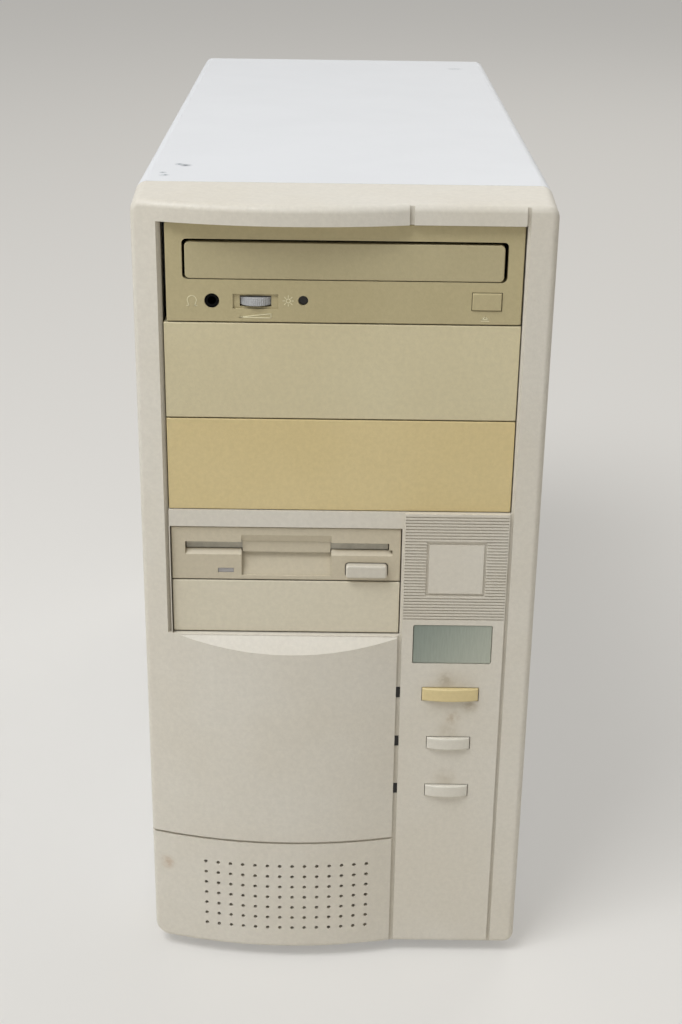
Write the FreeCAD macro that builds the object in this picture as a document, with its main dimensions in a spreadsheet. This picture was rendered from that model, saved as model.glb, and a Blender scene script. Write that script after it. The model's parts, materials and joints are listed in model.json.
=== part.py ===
import FreeCAD, Part
import math
import os
import re

import Sketcher

# A mini tower computer of the middle 1990s, in millimetres.
# Heights are above the floor, widths are from the middle plane (right is plus), and depths run
# back from the plane of the drive fronts. The whole machine is then moved so that the middle of
# its floor plan is the origin.

SIZES = {
    # Case
    "case_width": 178.0,
    "case_height": 365.0,
    "case_depth": 419.5,
    "foot_height": 6.0,
    "foot_radius": 9.0,
    "sheet": 1.0,
    "fit_gap": 0.3,
    "flange": 9.0,
    # Front moulding
    "bezel_depth": 35.0,
    "bezel_wall": 2.5,
    "side_draft": 1.4,
    "top_draft": 0.8,
    "face_proud": 2.5,
    "bow_rise": 5.9,
    "bow_offset": 22.0,
    "corner_radius": 5.0,
    "foot_corner_radius": 7.0,
    "edge_radius": 3.0,
    "clip_length": 4.0,
    "clip_width": 10.0,
    "return_depth": 11.0,
    "return_wall": 1.5,
    "reveal": 1.6,
    # Grooves, ribs and grille of the front moulding
    "left_groove_x": 27.6,
    "right_groove_x": 75.2,
    "left_groove_width": 2.0,
    "right_groove_width": 1.6,
    "groove_depth": 1.2,
    "bow_groove_height": 60.8,
    "bow_groove_width": 1.3,
    "bow_groove_depth": 1.0,
    "scoop_height": 6.6,
    "scoop_ledge": 0.6,
    "rib_count": 35,
    "rib_pitch": 1.46,
    "rib_groove": 0.7,
    "rib_depth": 0.5,
    "badge_drop": 162.9,
    "badge_width": 26.6,
    "badge_height": 25.9,
    "moat_width": 1.2,
    "moat_depth": 0.9,
    "grille_columns": 14,
    "grille_rows": 7,
    "grille_pitch": 5.9,
    "grille_hole": 1.8,
    "grille_left": 61.9,
    "grille_base": 12.2,
    # Drive bays
    "bay_left": 75.4,
    "bay_width": 150.4,
    "top_lip": 8.9,
    "bay_pitch": 42.5,
    "bay_count": 3,
    "bar_height": 7.8,
    "bar_recess": 1.7,
    "wide_front_width": 148.0,
    "wide_front_height": 42.0,
    "wide_side_gap": 1.8,
    "small_left": 74.9,
    "small_front_width": 101.6,
    "small_front_height": 25.4,
    "small_gap": 0.5,
    "cover_plate": 2.4,
    "cover_skirt": 9.0,
    # Buttons, lamps and label plate
    "button_x": 51.5,
    "power_drop": 225.8,
    "button_pitch": 25.7,
    "power_width": 25.7,
    "power_height": 6.5,
    "button_width": 19.8,
    "button_height": 6.0,
    "button_proud": 2.2,
    "button_bow": 1.5,
    "button_flange": 1.2,
    "button_travel": 2.5,
    "lamp_width": 2.0,
    "lamp_height": 5.6,
    "label_drop": 200.4,
    "label_width": 35.6,
    "label_height": 19.4,
    "label_thickness": 0.8,
    "label_recess": 1.2,
    # Compact disc drive
    "cd_case_width": 146.0,
    "cd_case_height": 41.3,
    "cd_case_depth": 190.0,
    "cd_bezel_depth": 5.0,
    "tray_left": 6.9,
    "tray_opening_width": 134.5,
    "tray_drop": 7.0,
    "tray_opening_height": 17.0,
    "tray_front_width": 132.0,
    "tray_front_height": 15.4,
    "tray_front_radius": 2.0,
    "tray_end_gap": 22.0,
    "tray_thickness": 6.5,
    "tray_width": 127.0,
    "disc_radius": 60.6,
    "disc_well": 3.0,
    "jack_x": 19.0,
    "jack_drop": 33.0,
    "jack_hole": 3.1,
    "jack_bore": 1.8,
    "jack_length": 13.0,
    "cd_lamp_x": 57.0,
    "cd_lamp_radius": 2.1,
    "wheel_x": 37.15,
    "wheel_drop": 33.15,
    "wheel_radius": 8.0,
    "wheel_thickness": 3.4,
    "wheel_proud": 1.4,
    "wheel_window_width": 13.1,
    "wheel_window_height": 4.7,
    "wheel_recess_width": 18.9,
    "wheel_recess_height": 6.3,
    "wheel_recess_depth": 0.8,
    "wheel_pin": 1.5,
    "running_gap": 0.06,
    "cd_eject_x": 133.4,
    "cd_eject_drop": 32.1,
    "cd_eject_width": 12.2,
    "cd_eject_height": 7.4,
    "small_travel": 1.2,
    # Diskette drive
    "floppy_depth": 146.0,
    "floppy_bezel_depth": 6.0,
    "slot_left": 6.1,
    "slot_width": 90.3,
    "slot_drop": 7.2,
    "slot_height": 4.2,
    "lip_height": 2.0,
    "tab_left": 31.0,
    "tab_width": 39.8,
    "notch_height": 3.7,
    "recess_height": 10.3,
    "recess_depth": 4.0,
    "flap_thickness": 1.2,
    "floppy_eject_x": 86.5,
    "floppy_eject_drop": 20.0,
    "floppy_eject_width": 18.3,
    "floppy_eject_height": 6.2,
    "floppy_eject_proud": 3.0,
    "floppy_lamp_x": 24.0,
    "floppy_lamp_drop": 20.95,
    "floppy_lamp_width": 7.0,
    "floppy_lamp_height": 2.2,
    # Chassis
    "pan_rim": 14.0,
    "tray_stand": 6.5,
    "cage_depth": 165.0,
    "small_cage_depth": 128.0,
    "tub_left": 43.0,
    "tub_right": 80.0,
    "tub_base": 22.0,
    "tub_height": 186.0,
    "tub_recess": 12.0,
    "screw_radius": 1.7,
    "screw_head_radius": 3.6,
    "screw_head": 2.0,
    # Power supply
    "psu_width": 150.0,
    "psu_height": 86.0,
    "psu_depth": 140.0,
    "psu_wall": 1.0,
    "psu_drop": 6.0,
    "fan_x": 30.0,
    "fan_width": 80.0,
    "fan_depth": 25.0,
    "fan_bore": 38.0,
    "fan_hole_spread": 35.75,
    "hub_radius": 16.0,
    "guard_wire": 1.6,
    "socket_x": 45.0,
    "socket_width": 28.0,
    "socket_height": 21.0,
    "socket_rim": 1.8,
    "socket_depth": 17.0,
    "socket_cavity_width": 24.0,
    "socket_cavity_height": 16.6,
    "socket_pitch": 29.0,
    # Main board and what stands on it
    "board_height": 216.0,
    "board_depth": 232.0,
    "board_thickness": 1.6,
    "board_base": 22.0,
    "slot_count": 7,
    "slot_pitch": 20.32,
    "first_slot": 36.0,
    "bracket_width": 18.4,
    "bracket_length": 120.0,
    "bracket_thickness": 0.9,
    "slot_opening_height": 13.0,
    "slot_opening_length": 104.0,
    "bus_socket_height": 11.0,
    "bus_socket_width": 8.5,
    "bus_socket_length": 138.0,
    "card_height": 98.0,
    "card_length": 160.0,
    "port_proud": 5.8,
    "din_radius": 9.0,
    "din_x": 66.0,
    "din_drop": 18.0,
    "cpu_width": 50.0,
    "cpu_rise": 56.0,
    "cpu_inset": 36.1,
    "sink_height": 14.0,
    "cpu_fan_depth": 10.0,
    "module_length": 108.0,
    "module_height": 25.0,
    "module_count": 4,
    "module_pitch": 10.0,
    "ribbon_width": 50.8,
    "ribbon_thickness": 1.0,
    "ribbon_left": 72.4,
    "ribbon_drop": 12.0,
    "disk_header_rise": 153.0,
    "disk_header_inset": 55.1,
    "floppy_ribbon_width": 43.0,
    "floppy_ribbon_left": 18.0,
    "floppy_header_inset": 130.1,
    "harness_radius": 3.0,
    "selector_x": 20.0,
    "selector_width": 8.0,
    "selector_height": 14.0,
    "selector_depth": 4.0,
    "selector_knob": 6.4,
    "selector_travel": 6.8,
    "stem_width": 5.0,
    "stem_reach": 2.0,
    "switch_depth": 8.0,
    "speaker_radius": 28.5,
    "speaker_depth": 17.0,
}

# Places worked out from the sizes
PLACES = {
    "half_width": "case_width / 2",
    "base_z": "foot_height",
    "top_z": "foot_height + case_height",
    "face_y": "-face_proud",
    "apex_y": "-(face_proud + bow_rise)",
    "bow_half": "left_groove_x + bow_offset",
    "bow_radius": "(bow_half ^ 2 + bow_rise ^ 2) / (2 * bow_rise)",
    "front_half_width": "half_width - side_draft",
    "bow_left_y": "apex_y + bow_radius - sqrt(bow_radius ^ 2 - (front_half_width - bow_offset) ^ 2)",
    "inner_radius": "bow_radius - bezel_wall",
    "inner_left": "front_half_width - bezel_wall",
    "inner_left_y": "apex_y + bow_radius - sqrt(inner_radius ^ 2 - (inner_left - bow_offset) ^ 2)",
    "inner_right": "sqrt(inner_radius ^ 2 - (bow_radius - bow_rise - bezel_wall) ^ 2) - bow_offset",
    "back_face_y": "face_y + bezel_wall",
    "bay_top": "top_z - top_lip",
    "bay_base": "bay_top - bay_count * bay_pitch",
    "bay_right": "bay_width - bay_left",
    "small_top": "bay_base - bar_height",
    "small_base": "small_top - 2 * small_front_height - 3 * small_gap",
    "small_right": "small_front_width + 2 * small_gap - small_left - 0.2",
    "scoop_top": "small_base - scoop_ledge",
    "wide_left": "wide_side_gap - bay_left",
    "wide_middle": "wide_left + wide_front_width / 2",
    "cd_top": "bay_top - fit_gap",
    "cd_base": "cd_top - wide_front_height",
    "small_middle": "small_gap - 0.1 - small_left + small_front_width / 2",
    "floppy_left": "small_middle - small_front_width / 2",
    "floppy_top": "small_top - small_gap",
    "floppy_base": "floppy_top - small_front_height",
    "power_z": "top_z - power_drop",
    "label_z": "top_z - label_drop",
    "badge_z": "top_z - badge_drop",
    "column_left": "left_groove_x + left_groove_width / 2",
    "column_right": "right_groove_x - right_groove_width / 2",
    "pan_z": "base_z + sheet + fit_gap",
    "pan_top": "pan_z + sheet",
    "skin_x": "half_width - sheet - fit_gap",
    "skin_z": "top_z - sheet - fit_gap",
    "tray_face_x": "skin_x - 2 * sheet",
    "board_x": "tray_face_x - tray_stand",
    "board_face_x": "board_x - board_thickness",
    "frame_y": "bezel_depth + fit_gap",
    "frame_back": "frame_y + sheet",
    "rear_y": "case_depth - sheet - fit_gap",
    "rear_inner": "rear_y - sheet",
    "psu_back": "rear_inner - fit_gap",
    "psu_front": "psu_back - psu_depth",
    "psu_top": "skin_z - psu_drop",
    "psu_base": "psu_top - psu_height",
    "psu_z": "psu_top - psu_height / 2",
    "tub_y": "rear_inner - tub_recess",
    "tub_top": "tub_base + tub_height",
    "bracket_y": "tub_y - sheet - fit_gap",
    "board_back": "bracket_y - 2",
    "board_front": "board_back - board_depth",
    "drive_face_y": "-(apex_y + case_depth + screw_head) / 2",
    "cage_left": "wide_middle - cd_case_width / 2 - fit_gap",
    "cage_right": "wide_middle + cd_case_width / 2 + fit_gap",
    "small_cage_left": "small_middle - small_front_width / 2 - fit_gap",
    "small_cage_right": "small_middle + small_front_width / 2 + fit_gap",
    "tray_length": "cd_case_depth - tray_end_gap",
    "tray_base": "cd_top - tray_drop - tray_opening_height + fit_gap",
    "wheel_z": "cd_top - wheel_drop",
    "wheel_y": "wheel_radius - wheel_proud",
    "front_board_z": "wheel_z - wheel_thickness / 2 - fit_gap - 1.5",
    "switch_y": "back_face_y + 16",
    "speaker_x": "-grille_left + grille_pitch * (grille_columns - 1) / 2",
    "speaker_z": "pan_top + speaker_radius + 8",
    "slot_left_x": "-tub_left + 6",
    "tab_y": "bracket_y + 6.5",
    "port_x": "slot_left_x + slot_opening_length / 2",
    "slot_top": "floppy_top - slot_drop",
    "slot_base": "slot_top - slot_height",
    "flap_pin": "flap_thickness / 2",
    "flap_y": "3.4",
    "flap_z": "slot_top + 1",
    "din_z": "tub_top - din_drop",
    "cpu_y": "board_front + cpu_inset",
    "cpu_z": "board_base + cpu_rise",
    "disk_ribbon_y": "board_front + disk_header_inset",
    "disk_ribbon_z": "board_base + disk_header_rise",
    "floppy_ribbon_y": "board_front + floppy_header_inset",
    "floppy_header_z": "floppy_base + 5",
    "disk_header_z": "small_base + 12",
    "cd_header_z": "cd_base + 11",
    "disk_plug_y": "frame_back + small_cage_depth + 2",
    "cd_back_y": "cd_bezel_depth + cd_case_depth",
    "ribbon_drop_y": "max(frame_back + cage_depth; cd_back_y; disk_plug_y) + ribbon_drop",
}

WORD = re.compile(r"[a-z][a-z0-9_]*")

doc = FreeCAD.newDocument("tower_computer")
sheet = doc.addObject("Spreadsheet::Sheet", "Sizes")
for row, (alias, amount) in enumerate(SIZES.items(), start=1):
    sheet.set(f"A{row}", str(amount))
    sheet.setAlias(f"A{row}", alias)
doc.recompute()

pieces = []


def formula(text):
    """Write a formula in the model's own words so that the document can work it out."""

    def swap(match):
        word = match.group()
        if word in SIZES:
            return "Sizes." + word
        if word in PLACES:
            return "(" + formula(PLACES[word]) + ")"
        return word

    return WORD.sub(swap, str(text))


def number(text):
    """Value of a formula at the sizes in the sheet."""
    return float(sheet.evalExpression(formula(text)))


def bind(item, field, text):
    """Tie a property to a formula of the sheet's sizes."""
    item.setExpression(field, formula(text))


def rectangle(left, right, low, high):
    """Corners of a rectangle in a sketch."""
    return [(left, low), (right, low), (right, high), (left, high)]


def round_rectangle(left, right, low, high, radius):
    """Rectangle whose corners are arcs of one radius."""
    return [
        (f"{left} + {radius}", low),
        (f"{right} - {radius}", low, radius, True),
        (right, f"{low} + {radius}"),
        (right, f"{high} - {radius}", radius, True),
        (f"{right} - {radius}", high),
        (f"{left} + {radius}", high, radius, True),
        (left, f"{high} - {radius}"),
        (left, f"{low} + {radius}", radius, True),
    ]


def bow_depth(across):
    """Depth of the bowed front surface at a place across it."""
    return f"(apex_y + bow_radius - sqrt(bow_radius ^ 2 - ({across} + bow_offset) ^ 2))"


class DrawnPiece:
    """A piece built up from sketches on the origin planes of its own body."""

    PLANES = {
        "XY": ("XY_Plane", 1),
        "XZ": ("XZ_Plane", -1),
        "YZ": ("YZ_Plane", 1),
    }

    def __init__(self, label):
        self.body = doc.addObject("PartDesign::Body", label)
        self.body.Label = label
        bind(self.body, "Placement.Base.y", "drive_face_y")
        pieces.append(self.body)

    def origin(self, role):
        """One of the body's own origin planes or axes."""
        return [item for item in self.body.Origin.OriginFeatures if item.Role == role][0]

    def sketch(self, plane, place, outlines):
        """Sketch closed outlines, every corner held by its two distances from the origin."""
        role, turn = self.PLANES[plane]
        drawing = self.body.newObject("Sketcher::SketchObject", "Outline")
        drawing.AttachmentSupport = [(self.origin(role), "")]
        drawing.MapMode = "FlatFace"
        bind(drawing, "AttachmentOffset.Base.z", place if turn > 0 else f"-({place})")
        shapes = []
        rules = []
        bound = []
        for outline in outlines:
            if isinstance(outline, tuple):
                add_circle(outline, shapes, rules, bound)
            else:
                add_outline(outline, shapes, rules, bound)
        drawing.addGeometry(shapes)
        drawing.addConstraint(rules)
        for index, text in bound:
            bind(drawing, f"Constraints[{index}]", text)
        return drawing

    def pad(self, plane, start, end, *outlines):
        """Add material between two depths."""
        feature = self.body.newObject("PartDesign::Pad", "Pad")
        feature.Profile = self.sketch(plane, start, outlines)
        feature.Reversed = plane == "XZ"
        bind(feature, "Length", f"({end}) - ({start})")
        return feature

    def cut(self, plane, start, end, *outlines):
        """Take material away between two depths."""
        feature = self.body.newObject("PartDesign::Pocket", "Pocket")
        feature.Profile = self.sketch(plane, start, outlines)
        feature.Reversed = plane != "XZ"
        bind(feature, "Length", f"({end}) - ({start})")
        return feature

    def repeat(self, feature, role, count, pitch, second_role=None, second_count=None, back=False):
        """Repeat a feature in a row, or in rows and columns of one pitch."""
        row = self.body.newObject("PartDesign::LinearPattern", "Row")
        row.Originals = [feature]
        row.Direction = (self.origin(role), [""])
        row.Reversed = back
        bind(row, "Occurrences", count)
        bind(row, "Length", f"({count} - 1) * {pitch}")
        if second_role:
            row.Direction2 = (self.origin(second_role), [""])
            bind(row, "Occurrences2", second_count)
            bind(row, "Length2", f"({second_count} - 1) * {pitch}")
        self.body.Tip = row
        return row

    def round_edges(self, radius, chosen):
        """Fillet the edges whose middle point passes a test."""
        doc.recompute()
        edges = self.body.Shape.Edges
        shift = number("drive_face_y")
        names = []
        for index, edge in enumerate(edges, start=1):
            middle = edge.valueAt((edge.FirstParameter + edge.LastParameter) / 2)
            along = edge.tangentAt((edge.FirstParameter + edge.LastParameter) / 2)
            if chosen(middle.x, middle.y - shift, middle.z, along):
                names.append(f"Edge{index}")
        if not names:
            raise RuntimeError(f"no edges to round on {self.body.Label}")
        base = self.body.Tip
        fillet = self.body.newObject("PartDesign::Fillet", "Fillet")
        fillet.Base = (base, names)
        bind(fillet, "Radius", radius)
        return fillet


def add_circle(outline, shapes, rules, bound):
    """Add a circle given as (across, up, radius) to a sketch's lists."""
    across, up, radius = outline
    index = len(shapes)
    centre = FreeCAD.Vector(number(across), number(up), 0)
    shapes.append(Part.Circle(centre, FreeCAD.Vector(0, 0, 1), number(radius)))
    for kind, text, value in (
        ("DistanceX", across, centre.x),
        ("DistanceY", up, centre.y),
    ):
        bound.append((len(rules), text))
        rules.append(Sketcher.Constraint(kind, -1, 1, index, 3, value))
    bound.append((len(rules), radius))
    rules.append(Sketcher.Constraint("Radius", index, number(radius)))


def add_outline(outline, shapes, rules, bound):
    """Add a closed outline to a sketch's lists.

    A corner is (across, up) where a straight side follows it, and (across, up, radius,
    anticlockwise) where an arc does.
    """
    first = len(shapes)
    spots = [FreeCAD.Vector(number(corner[0]), number(corner[1]), 0) for corner in outline]
    ends = []
    for index, corner in enumerate(outline):
        here = spots[index]
        there = spots[(index + 1) % len(outline)]
        if len(corner) == 2:
            shapes.append(Part.LineSegment(here, there))
            ends.append((1, 2))
            continue
        shapes.append(arc_between(here, there, number(corner[2]), corner[3]))
        ends.append((1, 2) if corner[3] else (2, 1))
    for index, corner in enumerate(outline):
        item = first + index
        after = (index + 1) % len(outline)
        rules.append(Sketcher.Constraint("Coincident", item, ends[index][1], first + after, ends[after][0]))
        for kind, text, value in (
            ("DistanceX", corner[0], spots[index].x),
            ("DistanceY", corner[1], spots[index].y),
        ):
            bound.append((len(rules), text))
            rules.append(Sketcher.Constraint(kind, -1, 1, item, ends[index][0], value))
        if len(corner) == 4:
            bound.append((len(rules), corner[2]))
            rules.append(Sketcher.Constraint("Radius", item, number(corner[2])))


def arc_between(here, there, radius, anticlockwise):
    """Arc of less than half a turn from one point to another."""
    half = (there - here) * 0.5
    rise = math.sqrt(max(radius ** 2 - half.Length ** 2, 0.0))
    side = FreeCAD.Vector(-half.y, half.x, 0).normalize() * (rise if anticlockwise else -rise)
    centre = here + half + side
    start, end = (here, there) if anticlockwise else (there, here)
    first = math.atan2(start.y - centre.y, start.x - centre.x)
    last = math.atan2(end.y - centre.y, end.x - centre.x)
    if last <= first:
        last += 2 * math.pi
    return Part.ArcOfCircle(Part.Circle(centre, FreeCAD.Vector(0, 0, 1), radius), first, last)


TURNS = {
    "X": FreeCAD.Rotation(FreeCAD.Vector(0, 1, 0), 90),
    "Y": FreeCAD.Rotation(FreeCAD.Vector(1, 0, 0), -90),
    "Z": FreeCAD.Rotation(),
}


def block(left, right, front, back, low, high):
    """Rectangular solid between six places."""
    box = doc.addObject("Part::Box", "Block")
    for field, start, end in (
        ("Length", left, right),
        ("Width", front, back),
        ("Height", low, high),
    ):
        bind(box, field, f"({end}) - ({start})")
    for field, place in (("x", left), ("y", front), ("z", low)):
        bind(box, f"Placement.Base.{field}", place)
    return box


def rod(axis, x, y, z, radius, length):
    """Round solid that starts at a place and runs along an axis."""
    cylinder = doc.addObject("Part::Cylinder", "Rod")
    cylinder.Placement = FreeCAD.Placement(FreeCAD.Vector(), TURNS[axis])
    bind(cylinder, "Radius", radius)
    bind(cylinder, "Height", length)
    for field, place in (("x", x), ("y", y), ("z", z)):
        bind(cylinder, f"Placement.Base.{field}", place)
    return cylinder


def joined(*solids):
    """One solid from several that meet."""
    fuse = doc.addObject("Part::MultiFuse", "Joined")
    fuse.Shapes = list(solids)
    return fuse


def carved(base, *tools):
    """A solid with others taken out of it."""
    cut = doc.addObject("Part::Cut", "Carved")
    cut.Base = base
    cut.Tool = tools[0] if len(tools) == 1 else joined(*tools)
    return cut


def group(*solids):
    """Separate solids kept together."""
    compound = doc.addObject("Part::Compound", "Group")
    compound.Links = list(solids)
    return compound


def piece(label, item):
    """Name a finished piece and set it in the machine."""
    item.Label = label
    bind(item, "Placement.Base.y", "drive_face_y")
    pieces.append(item)
    return item


# Front moulding


def front_bezel():
    """Moulded front: a flat column on the right and a bowed field on the left, drafted sides."""
    bezel = DrawnPiece("front_bezel")
    bezel.pad(
        "XY",
        "base_z",
        "top_z",
        [
            ("-half_width", "bezel_depth"),
            ("-front_half_width", "bow_left_y", "bow_radius", True),
            ("left_groove_x", "face_y"),
            ("front_half_width", "face_y"),
            ("half_width", "bezel_depth"),
        ],
    )
    bezel.cut(
        "YZ",
        "-half_width",
        "half_width",
        [
            ("bezel_depth", "top_z"),
            ("apex_y - 1", "top_z - top_draft"),
            ("apex_y - 1", "top_z + 1"),
            ("bezel_depth", "top_z + 1"),
        ],
    )
    middle = number("(base_z + top_z) / 2")
    seam = number("bezel_depth")
    bezel.round_edges("corner_radius", lambda x, y, z, t: abs(t.y) > 0.9 and (z > middle or x > 0))
    bezel.round_edges(
        "foot_corner_radius", lambda x, y, z, t: abs(t.y) > 0.9 and z < middle and x < 0 and abs(x) > seam
    )
    front = number("bow_left_y") + 1
    wide = number("column_left - 5")
    bezel.round_edges(
        "edge_radius",
        lambda x, y, z, t: y < front and not (abs(t.z) > 0.9 and 0 < x < wide + 10),
    )
    sides = [
        ("inner_left", "back_face_y"),
        ("half_width - bezel_wall", "bezel_depth + 1"),
        ("-(half_width - bezel_wall)", "bezel_depth + 1"),
        ("-inner_left", "inner_left_y", "inner_radius", True),
    ]
    bezel.cut("XY", "base_z + bezel_wall", "top_z - bezel_wall", [*sides, ("-(inner_right + 2 * bow_offset)", "back_face_y")])
    for low, high in (
        ("base_z + bezel_wall", "scoop_top - scoop_height - bezel_wall"),
        ("bay_top + return_wall", "top_z - bezel_wall"),
    ):
        bezel.cut("XY", low, high, [*sides, ("inner_right", "back_face_y")])
    # The bowed field is cut back flat round the small bay, and slopes forward below it.
    bezel.cut(
        "YZ",
        "-half_width",
        "left_groove_x",
        [
            ("face_y", "bay_top"),
            ("face_y", "scoop_top"),
            ("face_y - 2 * bow_rise", "scoop_top - 2 * scoop_height"),
            ("face_y - 2 * bow_rise", "bay_top"),
        ],
    )
    # Walls that run back from the bays to the chassis
    bezel.pad(
        "XZ",
        "back_face_y - 1",
        "return_depth",
        rectangle("-bay_left - return_wall", "bay_right + return_wall", "small_base - return_wall",
                  "bay_top + return_wall"),
    )
    bezel.cut("XZ", "apex_y - 1", "return_depth + 1", rectangle("-bay_left", "bay_right", "bay_base", "bay_top"))
    bezel.cut(
        "XZ", "apex_y - 1", "return_depth + 1", rectangle("-small_left", "small_right", "small_base", "small_top")
    )
    bezel.cut(
        "XZ",
        "back_face_y",
        "return_depth + 1",
        rectangle("small_right + return_wall", "bay_right + 2 * return_wall", "small_base - 2 * return_wall",
                  "bay_base - return_wall"),
    )
    bezel.cut(
        "XZ", "apex_y - 1", "bar_recess + face_y", rectangle("-bay_left", "left_groove_x", "small_top", "bay_base")
    )
    bezel.cut(
        "XY",
        "small_base",
        "bay_top",
        [
            ("-bay_left - reveal", "apex_y"),
            ("-bay_left - reveal", f"{bow_depth('-bay_left - reveal')} + 0.1"),
            ("-bay_left + 0.2", "reveal"),
            ("-bay_left + 0.2", "apex_y"),
        ],
    )
    # Upright grooves that divide the column from the field and the right pillar
    for middle_x, width in (
        ("left_groove_x", "left_groove_width"),
        ("right_groove_x", "right_groove_width"),
    ):
        bezel.cut(
            "XY",
            "base_z - 1",
            "top_z + 1",
            rectangle(f"{middle_x} - {width} / 2", f"{middle_x} + {width} / 2", "apex_y", "face_y + groove_depth"),
        )
    # Curved groove above the grille
    bezel.cut(
        "XY",
        "base_z + bow_groove_height - bow_groove_width / 2",
        "base_z + bow_groove_height + bow_groove_width / 2",
        [
            ("-half_width - 1", "apex_y - 1"),
            ("left_groove_x", "apex_y - 1"),
            ("left_groove_x", "face_y + bow_groove_depth", "bow_radius - bow_groove_depth", False),
            ("-front_half_width", f"{bow_depth('-front_half_width')} + bow_groove_depth + 0.5"),
            ("-half_width - 1", f"{bow_depth('-front_half_width')} + bow_groove_depth + 0.5"),
        ],
    )
    grille_z = "base_z + grille_base"
    hole = bezel.cut("XZ", "apex_y - 1", "bezel_wall + 4", ("-grille_left", grille_z, "grille_hole / 2"))
    bezel.repeat(hole, "X_Axis", "grille_columns", "grille_pitch", "Z_Axis", "grille_rows")
    rib_front_panel(bezel)
    for x, drop, width, height in (
        ("button_x", "0", "power_width", "power_height"),
        ("button_x", "button_pitch", "button_width", "button_height"),
        ("button_x", "2 * button_pitch", "button_width", "button_height"),
    ):
        bezel.cut(
            "XZ",
            "apex_y",
            "back_face_y + 1",
            rectangle(
                f"{x} - {width} / 2 - fit_gap",
                f"{x} + {width} / 2 + fit_gap",
                f"power_z - {drop} - {height} / 2 - fit_gap",
                f"power_z - {drop} + {height} / 2 + fit_gap",
            ),
        )
        bezel.cut(
            "XZ",
            "apex_y",
            "back_face_y + 1",
            rectangle(
                "left_groove_x - lamp_width / 2",
                "left_groove_x + lamp_width / 2",
                f"power_z - {drop} - lamp_height / 2",
                f"power_z - {drop} + lamp_height / 2",
            ),
        )
    bezel.cut(
        "XZ",
        "apex_y",
        "face_y + label_recess",
        round_rectangle(
            "button_x - label_width / 2 - 0.15",
            "button_x + label_width / 2 + 0.15",
            "label_z - label_height / 2 - 0.15",
            "label_z + label_height / 2 + 0.15",
            "1",
        ),
    )
    # Clips that push through the steel front
    for side in ("-", ""):
        for height in ("base_z + 40", "top_z - 45"):
            outer = f"{side}(half_width - bezel_wall - 0.2)"
            inner = f"{side}(half_width - bezel_wall - 3.2)"
            left, right = (outer, inner) if side else (inner, outer)
            bezel.pad(
                "XZ",
                "bezel_depth - 12",
                "bezel_depth + clip_length",
                rectangle(left, right, height, f"{height} + clip_width"),
            )
    return bezel


def rib_front_panel(bezel):
    """Fine ribs at the head of the column, with a flush square inside a moat."""
    groove = bezel.cut(
        "XZ",
        "apex_y",
        "face_y + rib_depth",
        rectangle("column_left + 0.3", "column_right - 0.3", "bay_base - 1.2 - rib_groove", "bay_base - 1.2"),
    )
    bezel.repeat(groove, "Z_Axis", "rib_count", "rib_pitch", back=True)
    edges = (
        "button_x + 0.2 - badge_width / 2",
        "button_x + 0.2 + badge_width / 2",
        "badge_z - badge_height / 2",
        "badge_z + badge_height / 2",
    )
    inner = [f"{edge} {sign} moat_width" for edge, sign in zip(edges, "+-+-")]
    bezel.pad("XZ", "face_y", "face_y + rib_depth", rectangle(*edges))
    bezel.cut("XZ", "apex_y", "face_y + moat_depth", rectangle(*edges), rectangle(*inner))


def label_plate():
    """Thin plate that fills the shallow recess of the column."""
    plate = DrawnPiece("label_plate")
    plate.pad(
        "XZ",
        "face_y + label_recess - label_thickness",
        "face_y + label_recess",
        round_rectangle(
            "button_x - label_width / 2",
            "button_x + label_width / 2",
            "label_z - label_height / 2",
            "label_z + label_height / 2",
            "0.9",
        ),
    )


def push_button(label, drop, width, height):
    """Button with a bowed front, a stem and a flange that keeps it behind the moulding."""
    button = DrawnPiece(label)
    z = f"power_z - {drop}"
    front = "face_y - button_proud"
    bowed = f"(({width} / 2) ^ 2 + button_bow ^ 2) / (2 * button_bow)"
    button.pad(
        "XY",
        f"{z} - {height} / 2",
        f"{z} + {height} / 2",
        [
            (f"button_x - {width} / 2", "back_face_y + button_flange + button_travel"),
            (f"button_x - {width} / 2", f"{front} + button_bow", bowed, True),
            (f"button_x + {width} / 2", f"{front} + button_bow"),
            (f"button_x + {width} / 2", "back_face_y + button_flange + button_travel"),
        ],
    )
    edge = number(f"{front} + button_bow + 0.2")
    button.round_edges("0.8", lambda x, y, z, t: y < edge)
    button.pad(
        "XZ",
        "back_face_y + fit_gap",
        "back_face_y + fit_gap + button_flange",
        rectangle(
            f"button_x - {width} / 2 - 1.5",
            f"button_x + {width} / 2 + 1.5",
            f"{z} - {height} / 2 - 1.5",
            f"{z} + {height} / 2 + 1.5",
        ),
    )
    button.pad(
        "XZ",
        "back_face_y + fit_gap",
        "switch_y + stem_reach",
        rectangle("button_x - stem_width / 2", "button_x + stem_width / 2", f"{z} - stem_width / 2",
                  f"{z} + stem_width / 2"),
    )


def stem_hole(z):
    """Space in a switch for the stem of its button."""
    return block("button_x - stem_width / 2 - fit_gap", "button_x + stem_width / 2 + fit_gap", "switch_y - 1",
                 "switch_y + stem_reach + button_travel + 0.5", f"{z} - stem_width / 2 - fit_gap",
                 f"{z} + stem_width / 2 + fit_gap")


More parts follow.
